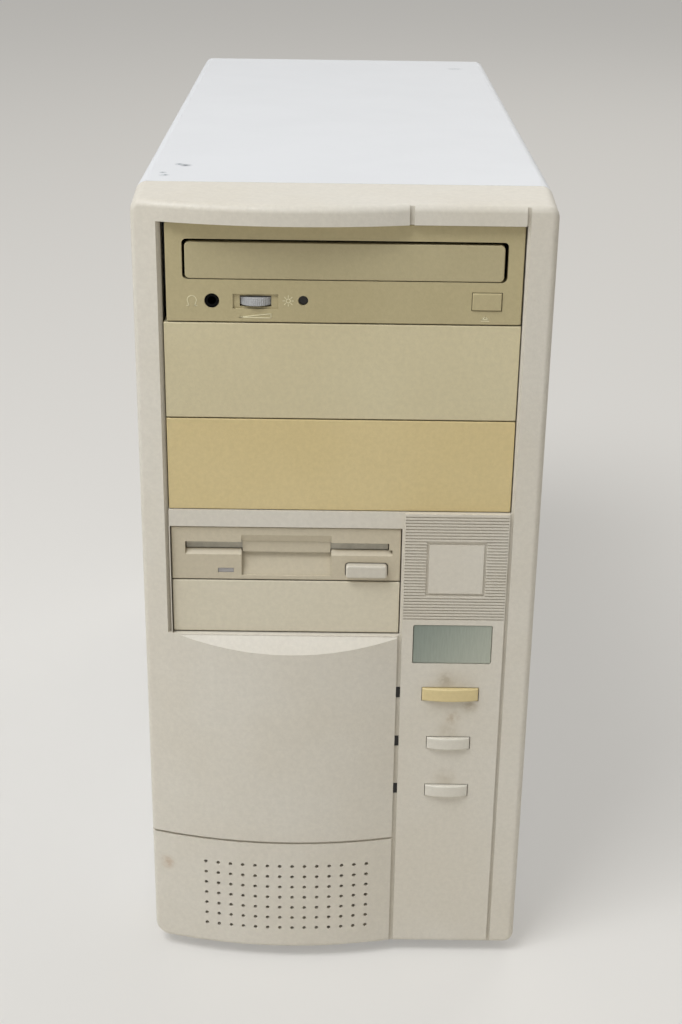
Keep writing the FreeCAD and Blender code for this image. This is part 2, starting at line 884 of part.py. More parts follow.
def switches():
    """Latching mains switch and the small board of the two touch switches, on the steel front."""
    power = carved(
        block("button_x - 13", "button_x + 13", "switch_y", "frame_y", "power_z - 8", "power_z + 8"),
        stem_hole("power_z"),
    )
    piece("power_switch", power)
    low = "power_z - 2 * button_pitch"
    high = "power_z - button_pitch"
    board_y = "switch_y + switch_depth"
    parts = [
        block("button_x - 9", "button_x + 9", board_y, f"{board_y} + 1.6", f"{low} - 9", f"{high} + 7"),
        block("button_x - 7", "button_x + 7", f"{board_y} + 1.6", "frame_y", f"{low} + 6", f"{high} - 6"),
    ]
    for z in (low, high):
        parts.append(block("button_x - 5", "button_x + 5", "switch_y", board_y, f"{z} - 5", f"{z} + 5"))
    piece("switch_board", carved(joined(*parts), stem_hole(low), stem_hole(high)))


def indicator_lamps():
    """Three light guides whose ends stand in the upright groove."""
    lamps = []
    for step in ("0", "button_pitch", "2 * button_pitch"):
        z = f"power_z - {step}"
        lamps.append(
            joined(
                block("left_groove_x - lamp_width / 2 + 0.1", "left_groove_x + lamp_width / 2 - 0.1",
                      "face_y + groove_depth + 0.3", "back_face_y + 4",
                      f"{z} - lamp_height / 2 + 0.1", f"{z} + lamp_height / 2 - 0.1"),
                block("left_groove_x - lamp_width", "left_groove_x + lamp_width", "back_face_y + fit_gap",
                      "back_face_y + 6", f"{z} - lamp_height / 2 - 1", f"{z} + lamp_height / 2 + 1"),
            )
        )
    piece("indicator_lamps", group(*lamps))


# Bay covers


def bay_cover(label, left, right, low, high):
    """Snap-in cover: a plate with a skirt behind it and two sprung tongues at the sides."""
    cover = DrawnPiece(label)
    cover.pad("XZ", "0", "cover_skirt", rectangle(left, right, low, high))
    cover.cut(
        "XZ",
        "cover_plate",
        "cover_skirt + 1",
        rectangle(f"{left} + cover_plate", f"{right} - cover_plate", f"{low} + cover_plate", f"{high} - cover_plate"),
    )
    edge = 0.1
    cover.round_edges("0.5", lambda x, y, z, t: y < edge)
    for side in (left, right):
        inner = side == left
        start = f"{side}" if inner else f"{side} - 1.2"
        cover.pad(
            "XZ",
            "cover_skirt - 1",
            "cover_skirt + 8",
            rectangle(start, f"{start} + 1.2", f"({low} + {high}) / 2 - 6", f"({low} + {high}) / 2 + 6"),
        )


def bay_covers():
    """Covers of the two empty wide bays and of the lower small bay."""
    for label, step in (("bay_cover_upper", "1"), ("bay_cover_lower", "2")):
        top = f"bay_top - {step} * bay_pitch - fit_gap"
        bay_cover(label, "-bay_left + 0.4", "bay_right - 0.4", f"{top} - wide_front_height", top)
    bay_cover(
        "bay_cover_small", "floppy_left", "floppy_left + small_front_width", "small_base + small_gap",
        "small_base + small_gap + small_front_height",
    )


# Steel case


def top_cover():
    """Steel wrap that makes the top and both sides, with rails below and a rim at the back."""
    cover = DrawnPiece("top_cover")
    cover.pad(
        "XZ",
        "frame_y",
        "case_depth",
        [
            ("-half_width", "base_z"),
            ("-half_width + flange", "base_z"),
            ("-half_width + flange", "base_z + sheet"),
            ("-half_width + sheet", "base_z + sheet"),
            ("-half_width + sheet", "top_z - corner_radius", "corner_radius - sheet", False),
            ("-half_width + corner_radius", "top_z - sheet"),
            ("half_width - corner_radius", "top_z - sheet", "corner_radius - sheet", False),
            ("half_width - sheet", "top_z - corner_radius"),
            ("half_width - sheet", "base_z + sheet"),
            ("half_width - flange", "base_z + sheet"),
            ("half_width - flange", "base_z"),
            ("half_width", "base_z"),
            ("half_width", "top_z - corner_radius", "corner_radius", True),
            ("half_width - corner_radius", "top_z"),
            ("-half_width + corner_radius", "top_z", "corner_radius", True),
            ("-half_width", "top_z - corner_radius"),
        ],
    )
    cover.pad(
        "XZ",
        "case_depth - sheet",
        "case_depth",
        [
            ("-half_width + 0.5", "base_z"),
            ("-half_width + flange", "base_z"),
            ("-half_width + flange", "top_z - flange"),
            ("half_width - flange", "top_z - flange"),
            ("half_width - flange", "base_z"),
            ("half_width - 0.5", "base_z"),
            ("half_width - 0.5", "top_z - corner_radius", "corner_radius - 0.5", True),
            ("half_width - corner_radius", "top_z - 0.5"),
            ("-half_width + corner_radius", "top_z - 0.5", "corner_radius - 0.5", True),
            ("-half_width + 0.5", "top_z - corner_radius"),
        ],
    )
    holes = [(x, z, "screw_radius + 0.2") for x, z in COVER_SCREWS]
    cover.cut("XZ", "case_depth - sheet - 1", "case_depth + 1", *holes)


COVER_SCREWS = [
    (f"{side}(half_width - flange / 2)", z) for side in ("-", "") for z in ("base_z + 30", "top_z - 150")
] + [("-50", "top_z - flange / 2"), ("50", "top_z - flange / 2")]


def base_pan():
    """Bottom sheet with its sides and both ends turned up."""
    pan = DrawnPiece("base_pan")
    pan.pad("XY", "pan_z", "pan_z + pan_rim", rectangle("-skin_x", "skin_x", "frame_y", "rear_y"))
    pan.cut(
        "XY",
        "pan_top",
        "pan_z + pan_rim + 1",
        rectangle("-skin_x + sheet", "skin_x - sheet", "frame_y - 1", "rear_y + 1"),
    )
    slot = pan.cut(
        "XY",
        "pan_z - 1",
        "pan_top + 1",
        rectangle("-45", "-5", "frame_y + 60", "frame_y + 64"),
    )
    pan.repeat(slot, "Y_Axis", "6", "10")


def feet():
    """Four round feet pushed into the bottom sheet."""
    items = []
    for x in ("-(half_width - 26)", "half_width - 26"):
        for y in ("frame_y + 30", "rear_y - 45"):
            cone = doc.addObject("Part::Cone", "Foot")
            bind(cone, "Radius1", "foot_radius - 1.5")
            bind(cone, "Radius2", "foot_radius")
            bind(cone, "Height", "pan_z")
            bind(cone, "Placement.Base.x", x)
            bind(cone, "Placement.Base.y", y)
            items.append(cone)
    piece("feet", group(*items))


def front_frame():
    """Steel front behind the moulding, cut out for the drives, the switches and air."""
    frame = DrawnPiece("front_frame")
    frame.pad("XZ", "frame_y", "frame_back", rectangle("-skin_x + sheet", "skin_x - sheet", "pan_top", "skin_z"))
    frame.round_edges("corner_radius - sheet", lambda x, y, z, t: abs(t.y) > 0.9 and z > number("base_z + 100"))
    frame.cut("XZ", "frame_y - 1", "frame_back + 1",
              rectangle("cage_left", "cage_right", "bay_base", "bay_top"))
    frame.cut("XZ", "frame_y - 1", "frame_back + 1",
              rectangle("small_cage_left", "small_cage_right", "small_base", "small_top"))
    frame.cut("XZ", "frame_y - 1", "frame_back + 1",
              rectangle("button_x - 12", "button_x + 12", "power_z - 6.5", "power_z + 6.5"))
    for side in ("-", ""):
        for height in ("base_z + 40", "top_z - 45"):
            outer = f"{side}(half_width - bezel_wall + 0.1)"
            inner = f"{side}(half_width - bezel_wall - 3.5)"
            left, right = (outer, inner) if side else (inner, outer)
            frame.cut("XZ", "frame_y - 1", "frame_back + 1",
                      rectangle(left, right, f"{height} - 0.3", f"{height} + clip_width + 0.3"))
    vent = frame.cut("XZ", "frame_y - 1", "frame_back + 1",
                     rectangle("speaker_x + 42", "speaker_x + 82", "base_z + 26", "base_z + 29"))
    frame.repeat(vent, "Z_Axis", "6", "7")
    frame.cut("XZ", "frame_y - 1", "frame_back + 1", ("speaker_x", "speaker_z", "speaker_radius - 6"))


def speaker():
    """Small speaker behind the steel front, in line with the grille."""
    cone = DrawnPiece("speaker")
    cone.pad("XZ", "frame_back", "frame_back + 2.5", ("speaker_x", "speaker_z", "speaker_radius"))
    cone.pad("XZ", "frame_back + 2", "frame_back + 9", ("speaker_x", "speaker_z", "speaker_radius - 8"))
    cone.pad("XZ", "frame_back + 8", "frame_back + speaker_depth", ("speaker_x", "speaker_z", "speaker_radius - 14"))


def rear_panel():
    """Steel back with a recessed field for the expansion slots and the keyboard socket."""
    back = DrawnPiece("rear_panel")
    back.pad("XZ", "rear_inner", "rear_y", rectangle("-skin_x + sheet", "skin_x - sheet", "pan_top", "skin_z"))
    back.round_edges("corner_radius - sheet", lambda x, y, z, t: abs(t.y) > 0.9 and z > number("base_z + 100"))
    back.pad(
        "XZ",
        "tub_y - sheet",
        "rear_y",
        rectangle("-tub_left - sheet", "tub_right + sheet", "tub_base - sheet", "tub_top + sheet"),
    )
    back.cut("XZ", "tub_y", "rear_y + 1", rectangle("-tub_left", "tub_right", "tub_base", "tub_top"))
    opening = back.cut(
        "XZ",
        "tub_y - sheet - 1",
        "tub_y + 1",
        rectangle("slot_left_x", "slot_left_x + slot_opening_length",
                  "first_slot - slot_opening_height / 2", "first_slot + slot_opening_height / 2"),
    )
    back.repeat(opening, "Z_Axis", "slot_count", "slot_pitch")
    back.cut("XZ", "tub_y - sheet - 1", "tub_y + 1", ("din_x", "din_z", "din_radius + 0.5"))
    back.cut(
        "XZ",
        "rear_inner - 1",
        "rear_y + 1",
        rectangle("-psu_width / 2 + 5", "psu_width / 2 - 5", "psu_base + 5", "psu_top - 5"),
        *[(x, z, "screw_radius + 0.1") for x, z in COVER_SCREWS],
    )
    hole = back.cut("YZ", "-tub_left - sheet - 1", "-tub_left + 1", ("tab_y", "first_slot", "screw_radius + 0.1"))
    back.repeat(hole, "Z_Axis", "slot_count", "slot_pitch")


def motherboard_tray():
    """Steel sheet that carries the main board, with its front and top edges folded."""
    front = "frame_back + clip_length + 2"
    top = "board_base + board_height + 20"
    sheet_part = joined(
        block("tray_face_x", "tray_face_x + sheet", front, "rear_inner", "pan_top", top),
        block("tray_face_x - flange", "tray_face_x", front, "rear_inner", f"{top} - sheet", top),
        block("tray_face_x - flange", "tray_face_x", front, f"{front} + sheet", "pan_top", f"{top} - sheet"),
    )
    piece("motherboard_tray", sheet_part)


def cage(label, left, right, low, high, depth, lugs):
    """Folded steel cage with a floor, open at the front and the top."""
    unit = DrawnPiece(label)
    unit.pad(
        "XZ",
        "frame_back",
        f"frame_back + {depth}",
        [
            (f"{left} - sheet", f"{low} - sheet"),
            (f"{right} + sheet", f"{low} - sheet"),
            (f"{right} + sheet", high),
            (right, high),
            (right, low),
            (left, low),
            (left, high),
            (f"{left} - sheet", high),
        ],
    )
    window = unit.cut(
        "YZ",
        f"{left} - sheet - 1",
        f"{right} + sheet + 1",
        round_rectangle("frame_back + 20", f"frame_back + {depth} - 20", f"{low} + 12", f"{low} + 18", "2"),
    )
    unit.repeat(window, "Z_Axis", lugs[0], lugs[1])


def cages():
    """Cage of the wide drives, with the cage of the small drives hung from its floor."""
    cage("drive_cage_wide", "cage_left", "cage_right", "bay_base", "bay_top", "cage_depth", ("bay_count", "bay_pitch"))
    cage("drive_cage_small", "small_cage_left", "small_cage_right", "small_base", "bay_base - sheet",
         "small_cage_depth", ("2", "small_front_height"))


def screws():
    """Round-headed screws of the cover, the finger guard and the slot brackets, all alike."""
    items = []
    for x, z in COVER_SCREWS:
        items.append(joined(rod("Y", x, "case_depth", z, "screw_head_radius", "screw_head"),
                            rod("Y", x, "rear_inner", z, "screw_radius", "case_depth - rear_inner + 0.5")))
    for x in ("fan_x - fan_hole_spread", "fan_x + fan_hole_spread"):
        for z in ("psu_z - fan_hole_spread", "psu_z + fan_hole_spread"):
            items.append(rod("Y", x, "psu_back + guard_wire", z, "screw_head_radius", "screw_head"))
    for index in range(int(number("slot_count"))):
        z = f"first_slot + {index} * slot_pitch"
        tab = "-tub_left - sheet - bracket_thickness"
        items.append(joined(rod("X", f"{tab} - screw_head", "tab_y", z, "screw_head_radius", "screw_head"),
                            rod("X", f"{tab} - 1", "tab_y", z, "screw_radius", "bracket_thickness + sheet + 2")))
    piece("case_screws", group(*items))


# Compact disc drive


def cd_x(text):
    """Place across the compact disc drive, from the left edge of its front."""
    return f"(wide_left + {text})"


def cdrom():
    """Drive in the top wide bay: case, front, tray, loader, front board and controls."""
    low = "cd_base + (wide_front_height - cd_case_height) / 2"
    case_left = "wide_middle - cd_case_width / 2"
    case_right = "wide_middle + cd_case_width / 2"
    case = DrawnPiece("cdrom_case")
    case.pad("XZ", "cd_bezel_depth", "cd_bezel_depth + cd_case_depth",
             rectangle(case_left, case_right, low, f"{low} + cd_case_height"))
    case.cut("XZ", "cd_bezel_depth - 1", "cd_bezel_depth + cd_case_depth - sheet",
             rectangle(f"{case_left} + sheet", f"{case_right} - sheet", f"{low} + sheet",
                       f"{low} + cd_case_height - sheet"))
    case.cut("XZ", "cd_bezel_depth + cd_case_depth - sheet - 1", "cd_bezel_depth + cd_case_depth + 1",
             rectangle("wide_middle - 60", "wide_middle - 5", f"{low} + 6", f"{low} + 16"))
    bezel = DrawnPiece("cdrom_bezel")
    bezel.pad("XZ", "0", "cd_bezel_depth", rectangle("wide_left", "wide_left + wide_front_width", "cd_base", "cd_top"))
    bezel.round_edges("0.8", lambda x, y, z, t: abs(t.y) > 0.9)
    bezel.round_edges("0.5", lambda x, y, z, t: y < 0.1)
    bezel.cut("XZ", "-1", "cd_bezel_depth + 1",
              round_rectangle(cd_x("tray_left"), cd_x("tray_left + tray_opening_width"),
                              "cd_top - tray_drop - tray_opening_height", "cd_top - tray_drop",
                              "tray_front_radius"))
    bezel.cut("XZ", "-1", "cd_bezel_depth + 1", (cd_x("jack_x"), "cd_top - jack_drop", "jack_hole"),
              (cd_x("cd_lamp_x"), "cd_top - jack_drop + 0.4", "cd_lamp_radius"))
    for start, end, width, height in (
        ("-1", "wheel_recess_depth", "wheel_recess_width", "wheel_recess_height"),
        ("-1", "cd_bezel_depth + 1", "wheel_window_width", "wheel_window_height"),
        ("wheel_recess_depth + 1", "cd_bezel_depth + 1", "(2 * wheel_radius + 1)", "wheel_window_height"),
    ):
        bezel.cut("XZ", start, end,
                  rectangle(cd_x(f"wheel_x - {width} / 2"), cd_x(f"wheel_x + {width} / 2"),
                            f"wheel_z - {height} / 2", f"wheel_z + {height} / 2"))
    bezel.cut("XZ", "-1", "cd_bezel_depth + 1",
              rectangle(cd_x("cd_eject_x - cd_eject_width / 2 - 0.25"), cd_x("cd_eject_x + cd_eject_width / 2 + 0.25"),
                        "cd_top - cd_eject_drop - cd_eject_height / 2 - 0.25",
                        "cd_top - cd_eject_drop + cd_eject_height / 2 + 0.25"))
    cdrom_tray()
    cdrom_inside(low)


def cdrom_tray():
    """Sliding tray with its disc well, and the plate that closes the opening."""
    front = DrawnPiece("cdrom_tray_front")
    left = cd_x("tray_left + 1.1")
    front.pad("XZ", "0", "cd_bezel_depth - 1",
              round_rectangle(left, f"{left} + tray_front_width", "tray_base", "tray_base + tray_front_height",
                              "tray_front_radius"))
    front.round_edges("0.5", lambda x, y, z, t: y < 0.1)
    tray = DrawnPiece("cdrom_tray")
    tray.pad("XZ", "cd_bezel_depth - 1", "cd_bezel_depth - 1 + tray_length",
             rectangle("wide_middle - tray_width / 2", "wide_middle + tray_width / 2", "tray_base + 0.5",
                       "tray_base + 0.5 + tray_thickness"))
    tray.cut("XY", "tray_base + 0.5 + tray_thickness - disc_well", "tray_base + tray_thickness + 2",
             ("wide_middle", "cd_bezel_depth + disc_radius + 4", "disc_radius"))
    tray.cut("XY", "tray_base + 0.5 + tray_thickness - disc_well - 1", "tray_base + tray_thickness + 2",
             ("wide_middle", "cd_bezel_depth + disc_radius + 4", "disc_radius - 20"))
    tray.cut("XY", "tray_base - 1", "tray_base + tray_thickness + 2",
             round_rectangle("wide_middle - 19", "wide_middle + 19", "cd_bezel_depth + disc_radius - 15",
                             "cd_bezel_depth + tray_length - 18", "18"))
    tray.round_edges("1.5", lambda x, y, z, t: abs(t.z) > 0.9 and y > number("cd_bezel_depth + tray_length - 2"))


def cdrom_inside(low):
    """Loader under the tray, front board with the volume wheel's pin, jack, lamp and button."""
    loader_top = "tray_base + 0.5 - fit_gap"
    loader_y = "cd_bezel_depth + disc_radius + 4"
    base = block("wide_middle - 70", "wide_middle + 70", "cd_bezel_depth + 20", "cd_bezel_depth + cd_case_depth - 12",
                 f"{low} + sheet", f"{low} + sheet + 9")
    sled_hole = block("wide_middle - 16", "wide_middle + 16", f"{loader_y} + 22", "cd_bezel_depth + cd_case_depth - 30",
                      f"{low} + sheet + 2", f"{low} + sheet + 10")
    spindle = joined(rod("Z", "wide_middle", loader_y, f"{low} + 8", "14", f"{loader_top} - ({low} + 8) - 1.5"),
                     rod("Z", "wide_middle", loader_y, f"{low} + 8", "7", f"{loader_top} - ({low} + 8)"))
    rails = [block(f"wide_middle {side} - 5", f"wide_middle {side} + 5", "cd_bezel_depth + 20",
                   "cd_bezel_depth + cd_case_depth - 12", f"{low} + sheet + 8", loader_top)
             for side in ("- 57", "+ 57")]
    piece("cdrom_loader", carved(joined(base, spindle, *rails), sled_hole))
    board = joined(
        block(cd_x("10"), cd_x("66"), "cd_bezel_depth + 0.5", "cd_bezel_depth + 19", "front_board_z - 1.6", "front_board_z"),
        rod("Z", cd_x("wheel_x"), "wheel_y", "front_board_z", "wheel_pin", "wheel_z + wheel_thickness / 2 + 1 - front_board_z"),
        block(cd_x("10"), cd_x("66"), "cd_bezel_depth + 17", "cd_bezel_depth + 19", f"{low} + sheet", "front_board_z"),
    )
    piece("cdrom_front_board", board)
    wheel = DrawnPiece("volume_wheel")
    wheel.pad("XY", "wheel_z - wheel_thickness / 2", "wheel_z + wheel_thickness / 2",
              (cd_x("wheel_x"), "wheel_y", "wheel_radius"),
              (cd_x("wheel_x"), "wheel_y", "wheel_pin + running_gap"))
    notch = wheel.cut("XY", "wheel_z - wheel_thickness / 2 - 1", "wheel_z + wheel_thickness / 2 + 1",
                      (cd_x("wheel_x"), "wheel_y - wheel_radius", "0.35"))
    wheel.body.Tip = notch
    jack = carved(
        joined(rod("Y", cd_x("jack_x"), "0.3", "cd_top - jack_drop", "jack_hole - 0.15", "cd_bezel_depth + 1"),
               block(cd_x("jack_x - 5"), cd_x("jack_x + 5"), "cd_bezel_depth + 0.5", "jack_length",
                     "front_board_z", "cd_top - jack_drop + 5")),
        rod("Y", cd_x("jack_x"), "-1", "cd_top - jack_drop", "jack_bore", "jack_length + 2"),
    )
    piece("headphone_jack", jack)
    lamp = joined(
        rod("Y", cd_x("cd_lamp_x"), "1.2", "cd_top - jack_drop + 0.4", "cd_lamp_radius - 0.15", "cd_bezel_depth + 3"),
        block(cd_x("cd_lamp_x - 2.5"), cd_x("cd_lamp_x + 2.5"), "cd_bezel_depth + 0.5", "cd_bezel_depth + 6",
              "front_board_z", "cd_top - jack_drop + 2.4"),
    )
    piece("cdrom_lamp", lamp)
    button = DrawnPiece("cdrom_eject_button")
    left = cd_x("cd_eject_x - cd_eject_width / 2")
    floor = "cd_top - cd_eject_drop - cd_eject_height / 2"
    button.pad("XZ", "-0.6", "cd_bezel_depth + 2",
               rectangle(left, f"{left} + cd_eject_width", floor, f"{floor} + cd_eject_height"))
    button.round_edges("0.6", lambda x, y, z, t: y < -0.5)
    button.pad("XZ", "cd_bezel_depth + fit_gap", "cd_bezel_depth + fit_gap + 1",
               rectangle(f"{left} - 1", f"{left} + cd_eject_width + 1", f"{floor} - 1", f"{floor} + cd_eject_height + 1"))
    button.pad("XZ", "cd_bezel_depth + 1", "cd_bezel_depth + 20 - small_travel - fit_gap",
               rectangle(f"{left} + 4", f"{left} + 8", f"{floor} - 0.5", f"{floor} + 3"))


# Diskette drive


def floppy_x(text):
    """Place across the diskette drive, from the left edge of its front."""
    return f"(floppy_left + {text})"


def floppy_drive():
    """Drive in the upper small bay: case, front, sprung flap, eject button and lamp."""
    case = DrawnPiece("floppy_case")
    left, right = "floppy_left", "floppy_left + small_front_width"
    case.pad("XZ", "floppy_bezel_depth", "floppy_depth", rectangle(left, right, "floppy_base + 0.3", "floppy_top - 0.3"))
    case.cut("XZ", "floppy_bezel_depth - 1", "floppy_depth - 1",
             rectangle(f"{left} + 1", f"{right} - 1", "floppy_base + 1.3", "floppy_top - 1.3"))
    guide_low = "slot_base - 1.2"
    for side, start, end in (
        ("left", f"{left} + 0.5", floppy_x("slot_left - 0.5")),
        ("right", floppy_x("slot_left + slot_width + 0.5"), f"{right} - 0.5"),
    ):
        case.pad("XZ", "floppy_bezel_depth + 12", "floppy_depth - 8", rectangle(start, end, guide_low, "slot_top + 1"))
    case.pad("XZ", "floppy_bezel_depth + 12", "floppy_depth - 8",
             rectangle(f"{left} + 0.5", f"{right} - 0.5", guide_low, "slot_base - 0.2"))
    bezel = DrawnPiece("floppy_bezel")
    bezel.pad("XZ", "0", "floppy_bezel_depth", rectangle(left, right, "floppy_base", "floppy_top"))
    bezel.round_edges("0.6", lambda x, y, z, t: y < 0.1)
    bezel.cut("XZ", "-1", "floppy_bezel_depth + 1",
              rectangle(floppy_x("slot_left"), floppy_x("slot_left + slot_width"), "slot_base", "slot_top"))
    # Lower lip of the slot slopes down to the face, and so does its right end.
    bezel.cut("YZ", floppy_x("slot_left"), floppy_x("slot_left + slot_width + 1.5"),
              [("-1", "slot_base + 1"), ("-1", "slot_base - lip_height - 0.7"), ("2.2", "slot_base"), ("2.2", "slot_base + 1")])
    # Finger recess under the middle of the slot, and the shallow notch above it
    bezel.cut("YZ", floppy_x("tab_left"), floppy_x("tab_left + tab_width"),
              [("-1", "slot_top"), ("-1", "slot_base - 1.6 - recess_height"), ("0.8", "slot_base - 1.6 - recess_height"),
               ("recess_depth", "slot_base - 2.6"), ("recess_depth", "slot_top")])
    bezel.cut("YZ", floppy_x("tab_left"), floppy_x("tab_left + tab_width"),
              [("-1", "slot_top + notch_height"), ("-0.1", "slot_top + notch_height"), ("1.6", "slot_top"),
               ("1.6", "slot_top - 1"), ("-1", "slot_top - 1")])
    bezel.cut("XZ", "-1", "floppy_bezel_depth + 1",
              round_rectangle(floppy_x("floppy_eject_x - floppy_eject_width / 2 - 0.4"),
                              floppy_x("floppy_eject_x + floppy_eject_width / 2 + 0.4"),
                              "floppy_top - floppy_eject_drop - floppy_eject_height / 2 - 0.4",
                              "floppy_top - floppy_eject_drop + floppy_eject_height / 2 + 0.4", "1.6"),
              rectangle(floppy_x("floppy_lamp_x - floppy_lamp_width / 2"),
                        floppy_x("floppy_lamp_x + floppy_lamp_width / 2"),
                        "floppy_top - floppy_lamp_drop - floppy_lamp_height / 2",
                        "floppy_top - floppy_lamp_drop + floppy_lamp_height / 2"))
    # Room behind the slot for the swing of the flap and for its pin
    bezel.cut("XZ", "recess_depth - 1", "floppy_bezel_depth + 1",
              rectangle(floppy_x("tab_left"), floppy_x("tab_left + tab_width"), "slot_base - 2", "slot_base + 0.1"))
    bezel.cut("XZ", "flap_y - flap_pin - 0.4", "floppy_bezel_depth + 1",
              rectangle(floppy_x("slot_left - 1.5"), floppy_x("slot_left + slot_width + 1.5"), "slot_top - 0.1", "slot_top + 2"))
    flap = joined(
        block(floppy_x("slot_left + 0.4"), floppy_x("slot_left + slot_width - 0.4"), "flap_y - flap_thickness / 2",
              "flap_y + flap_thickness / 2", "slot_base + fit_gap", "flap_z"),
        block(floppy_x("tab_left + 0.4"), floppy_x("tab_left + tab_width - 0.4"), "flap_y - flap_thickness / 2 - 0.7",
              "flap_y + flap_thickness / 2", "slot_base - 1.2", "slot_top - 0.2"),
        rod("X", floppy_x("slot_left - 1.2"), "flap_y", "flap_z", "flap_pin", "slot_width + 2.4"),
    )
    piece("floppy_flap", flap)
    button = DrawnPiece("floppy_eject_button")
    middle = floppy_x("floppy_eject_x")
    floor = "floppy_top - floppy_eject_drop - floppy_eject_height / 2"
    button.pad("XZ", "-floppy_eject_proud", "floppy_bezel_depth + 1",
               round_rectangle(f"{middle} - floppy_eject_width / 2", f"{middle} + floppy_eject_width / 2", floor,
                               f"{floor} + floppy_eject_height", "1.4"))
    button.round_edges("1", lambda x, y, z, t: y < number("0.1 - floppy_eject_proud"))
    button.pad("XZ", "floppy_bezel_depth + fit_gap", "floppy_bezel_depth + fit_gap + 1",
               rectangle(f"{middle} - floppy_eject_width / 2 - 1", f"{middle} + floppy_eject_width / 2 + 1",
                         f"{floor} - 0.6", f"{floor} + floppy_eject_height + 0.9"))
    lamp = block(floppy_x("floppy_lamp_x - floppy_lamp_width / 2 + 0.1"),
                 floppy_x("floppy_lamp_x + floppy_lamp_width / 2 - 0.1"), "drive_face_y + 0.3",
                 "drive_face_y + floppy_bezel_depth",
                 "floppy_top - floppy_lamp_drop - floppy_lamp_height / 2 + 0.1",
                 "floppy_top - floppy_lamp_drop + floppy_lamp_height / 2 - 0.1")
    lamp.Label = "floppy_lamp"
    pieces.append(lamp)


# Power supply


def fan_blade(index, count, reach, hub, depth, y, x, z):
    """Pitched fan blade: a thin plate turned about the spoke that carries it."""
    plate = doc.addObject("Part::Box", "Blade")
    bind(plate, "Length", f"{reach} - {hub} + 1")
    bind(plate, "Width", "1.4")
    bind(plate, "Height", depth)
    pitch = FreeCAD.Rotation(FreeCAD.Vector(1, 0, 0), 52)
    spoke = FreeCAD.Rotation(FreeCAD.Vector(0, 1, 0), 360.0 * index / count)
    plate.Placement = FreeCAD.Placement(
        FreeCAD.Vector(number(x), number(y), number(z)) + spoke.multVec(FreeCAD.Vector(number(hub) - 1, 0, 0))
        - spoke.multiply(pitch).multVec(FreeCAD.Vector(0, 0.7, number(depth) / 2)),
        spoke.multiply(pitch),
    )
    return plate


def power_supply():
    """Steel box with its fan, finger guard, mains inlet, monitor outlet and voltage selector."""
    case = DrawnPiece("psu_case")
    case.pad("XZ", "psu_front", "psu_back", rectangle("-psu_width / 2", "psu_width / 2", "psu_base", "psu_top"))
    case.cut("XZ", "psu_front + psu_wall", "psu_back - psu_wall",
             rectangle("-psu_width / 2 + psu_wall", "psu_width / 2 - psu_wall", "psu_base + psu_wall",
                       "psu_top - psu_wall"))
    case.cut("XZ", "psu_back - psu_wall - 1", "psu_back + 1", ("fan_x", "psu_z", "fan_bore"))
    for step in ("socket_pitch / 2", "-socket_pitch / 2"):
        case.cut("XZ", "psu_back - psu_wall - 1", "psu_back + 1",
                 rectangle("-socket_x - socket_width / 2", "-socket_x + socket_width / 2",
                           f"psu_z + {step} - socket_height / 2", f"psu_z + {step} + socket_height / 2"))
    selector = ("-selector_x - selector_width / 2", "-selector_x + selector_width / 2",
                "psu_z - selector_height / 2", "psu_z + selector_height / 2")
    housing = [f"{place} {sign} 2" for place, sign in zip(selector, "-+-+")]
    case.pad("XZ", "psu_back - selector_depth - 2", "psu_back - 0.5", rectangle(*housing))
    case.cut("XZ", "psu_back - selector_depth", "psu_back + 1", rectangle(*selector))
    knob_top = "psu_z + selector_height / 2 - fit_gap"
    piece("voltage_slider", joined(
        block("-selector_x - selector_width / 2 + fit_gap", "-selector_x + selector_width / 2 - fit_gap",
              "psu_back - selector_depth + fit_gap", "psu_back - 1.5", f"{knob_top} - selector_knob", knob_top),
        block("-selector_x - 1", "-selector_x + 1", "psu_back - 2", "psu_back - 0.4",
              f"{knob_top} - selector_knob", knob_top)))
    vent = case.cut("XZ", "psu_front - 1", "psu_front + psu_wall + 1",
                    rectangle("-50", "-47", "psu_base + 20", "psu_top - 20"))
    case.repeat(vent, "X_Axis", "12", "8")
    frame = DrawnPiece("psu_fan_frame")
    fan_back = "psu_back - psu_wall"
    fan_front = "psu_back - psu_wall - fan_depth"
    outer = rectangle("fan_x - fan_width / 2", "fan_x + fan_width / 2", "psu_z - fan_width / 2", "psu_z + fan_width / 2")
    frame.pad("XZ", fan_front, fan_back, outer)
    frame.cut("XZ", f"{fan_front} - 1", f"{fan_back} + 1", ("fan_x", "psu_z", "fan_bore"))
    frame.pad("XZ", fan_front, f"{fan_front} + 3", ("fan_x", "psu_z", "hub_radius"))
    for horizontal in (True, False):
        half = ("fan_bore + 1", "1.8") if horizontal else ("1.8", "fan_bore + 1")
        frame.pad("XZ", fan_front, f"{fan_front} + 3",
                  rectangle(f"fan_x - ({half[0]})", f"fan_x + ({half[0]})", f"psu_z - ({half[1]})", f"psu_z + ({half[1]})"))
    frame.pad("XZ", f"{fan_front} + 2", f"{fan_front} + 10", ("fan_x", "psu_z", "2"))
    rotor = [rod("Y", "fan_x", f"{fan_front} + 3 + fit_gap", "psu_z", "hub_radius", "fan_depth - 4")]
    for index in range(7):
        rotor.append(fan_blade(index, 7, "fan_bore - 1", "hub_radius", "21", f"{fan_front} + 14", "fan_x", "psu_z"))
    piece("psu_fan_rotor", carved(joined(*rotor), rod("Y", "fan_x", f"{fan_front} + 3", "psu_z", "2 + running_gap", "7.6")))
    guard = DrawnPiece("psu_fan_guard")
    add_guard_wires(guard)
    sockets()


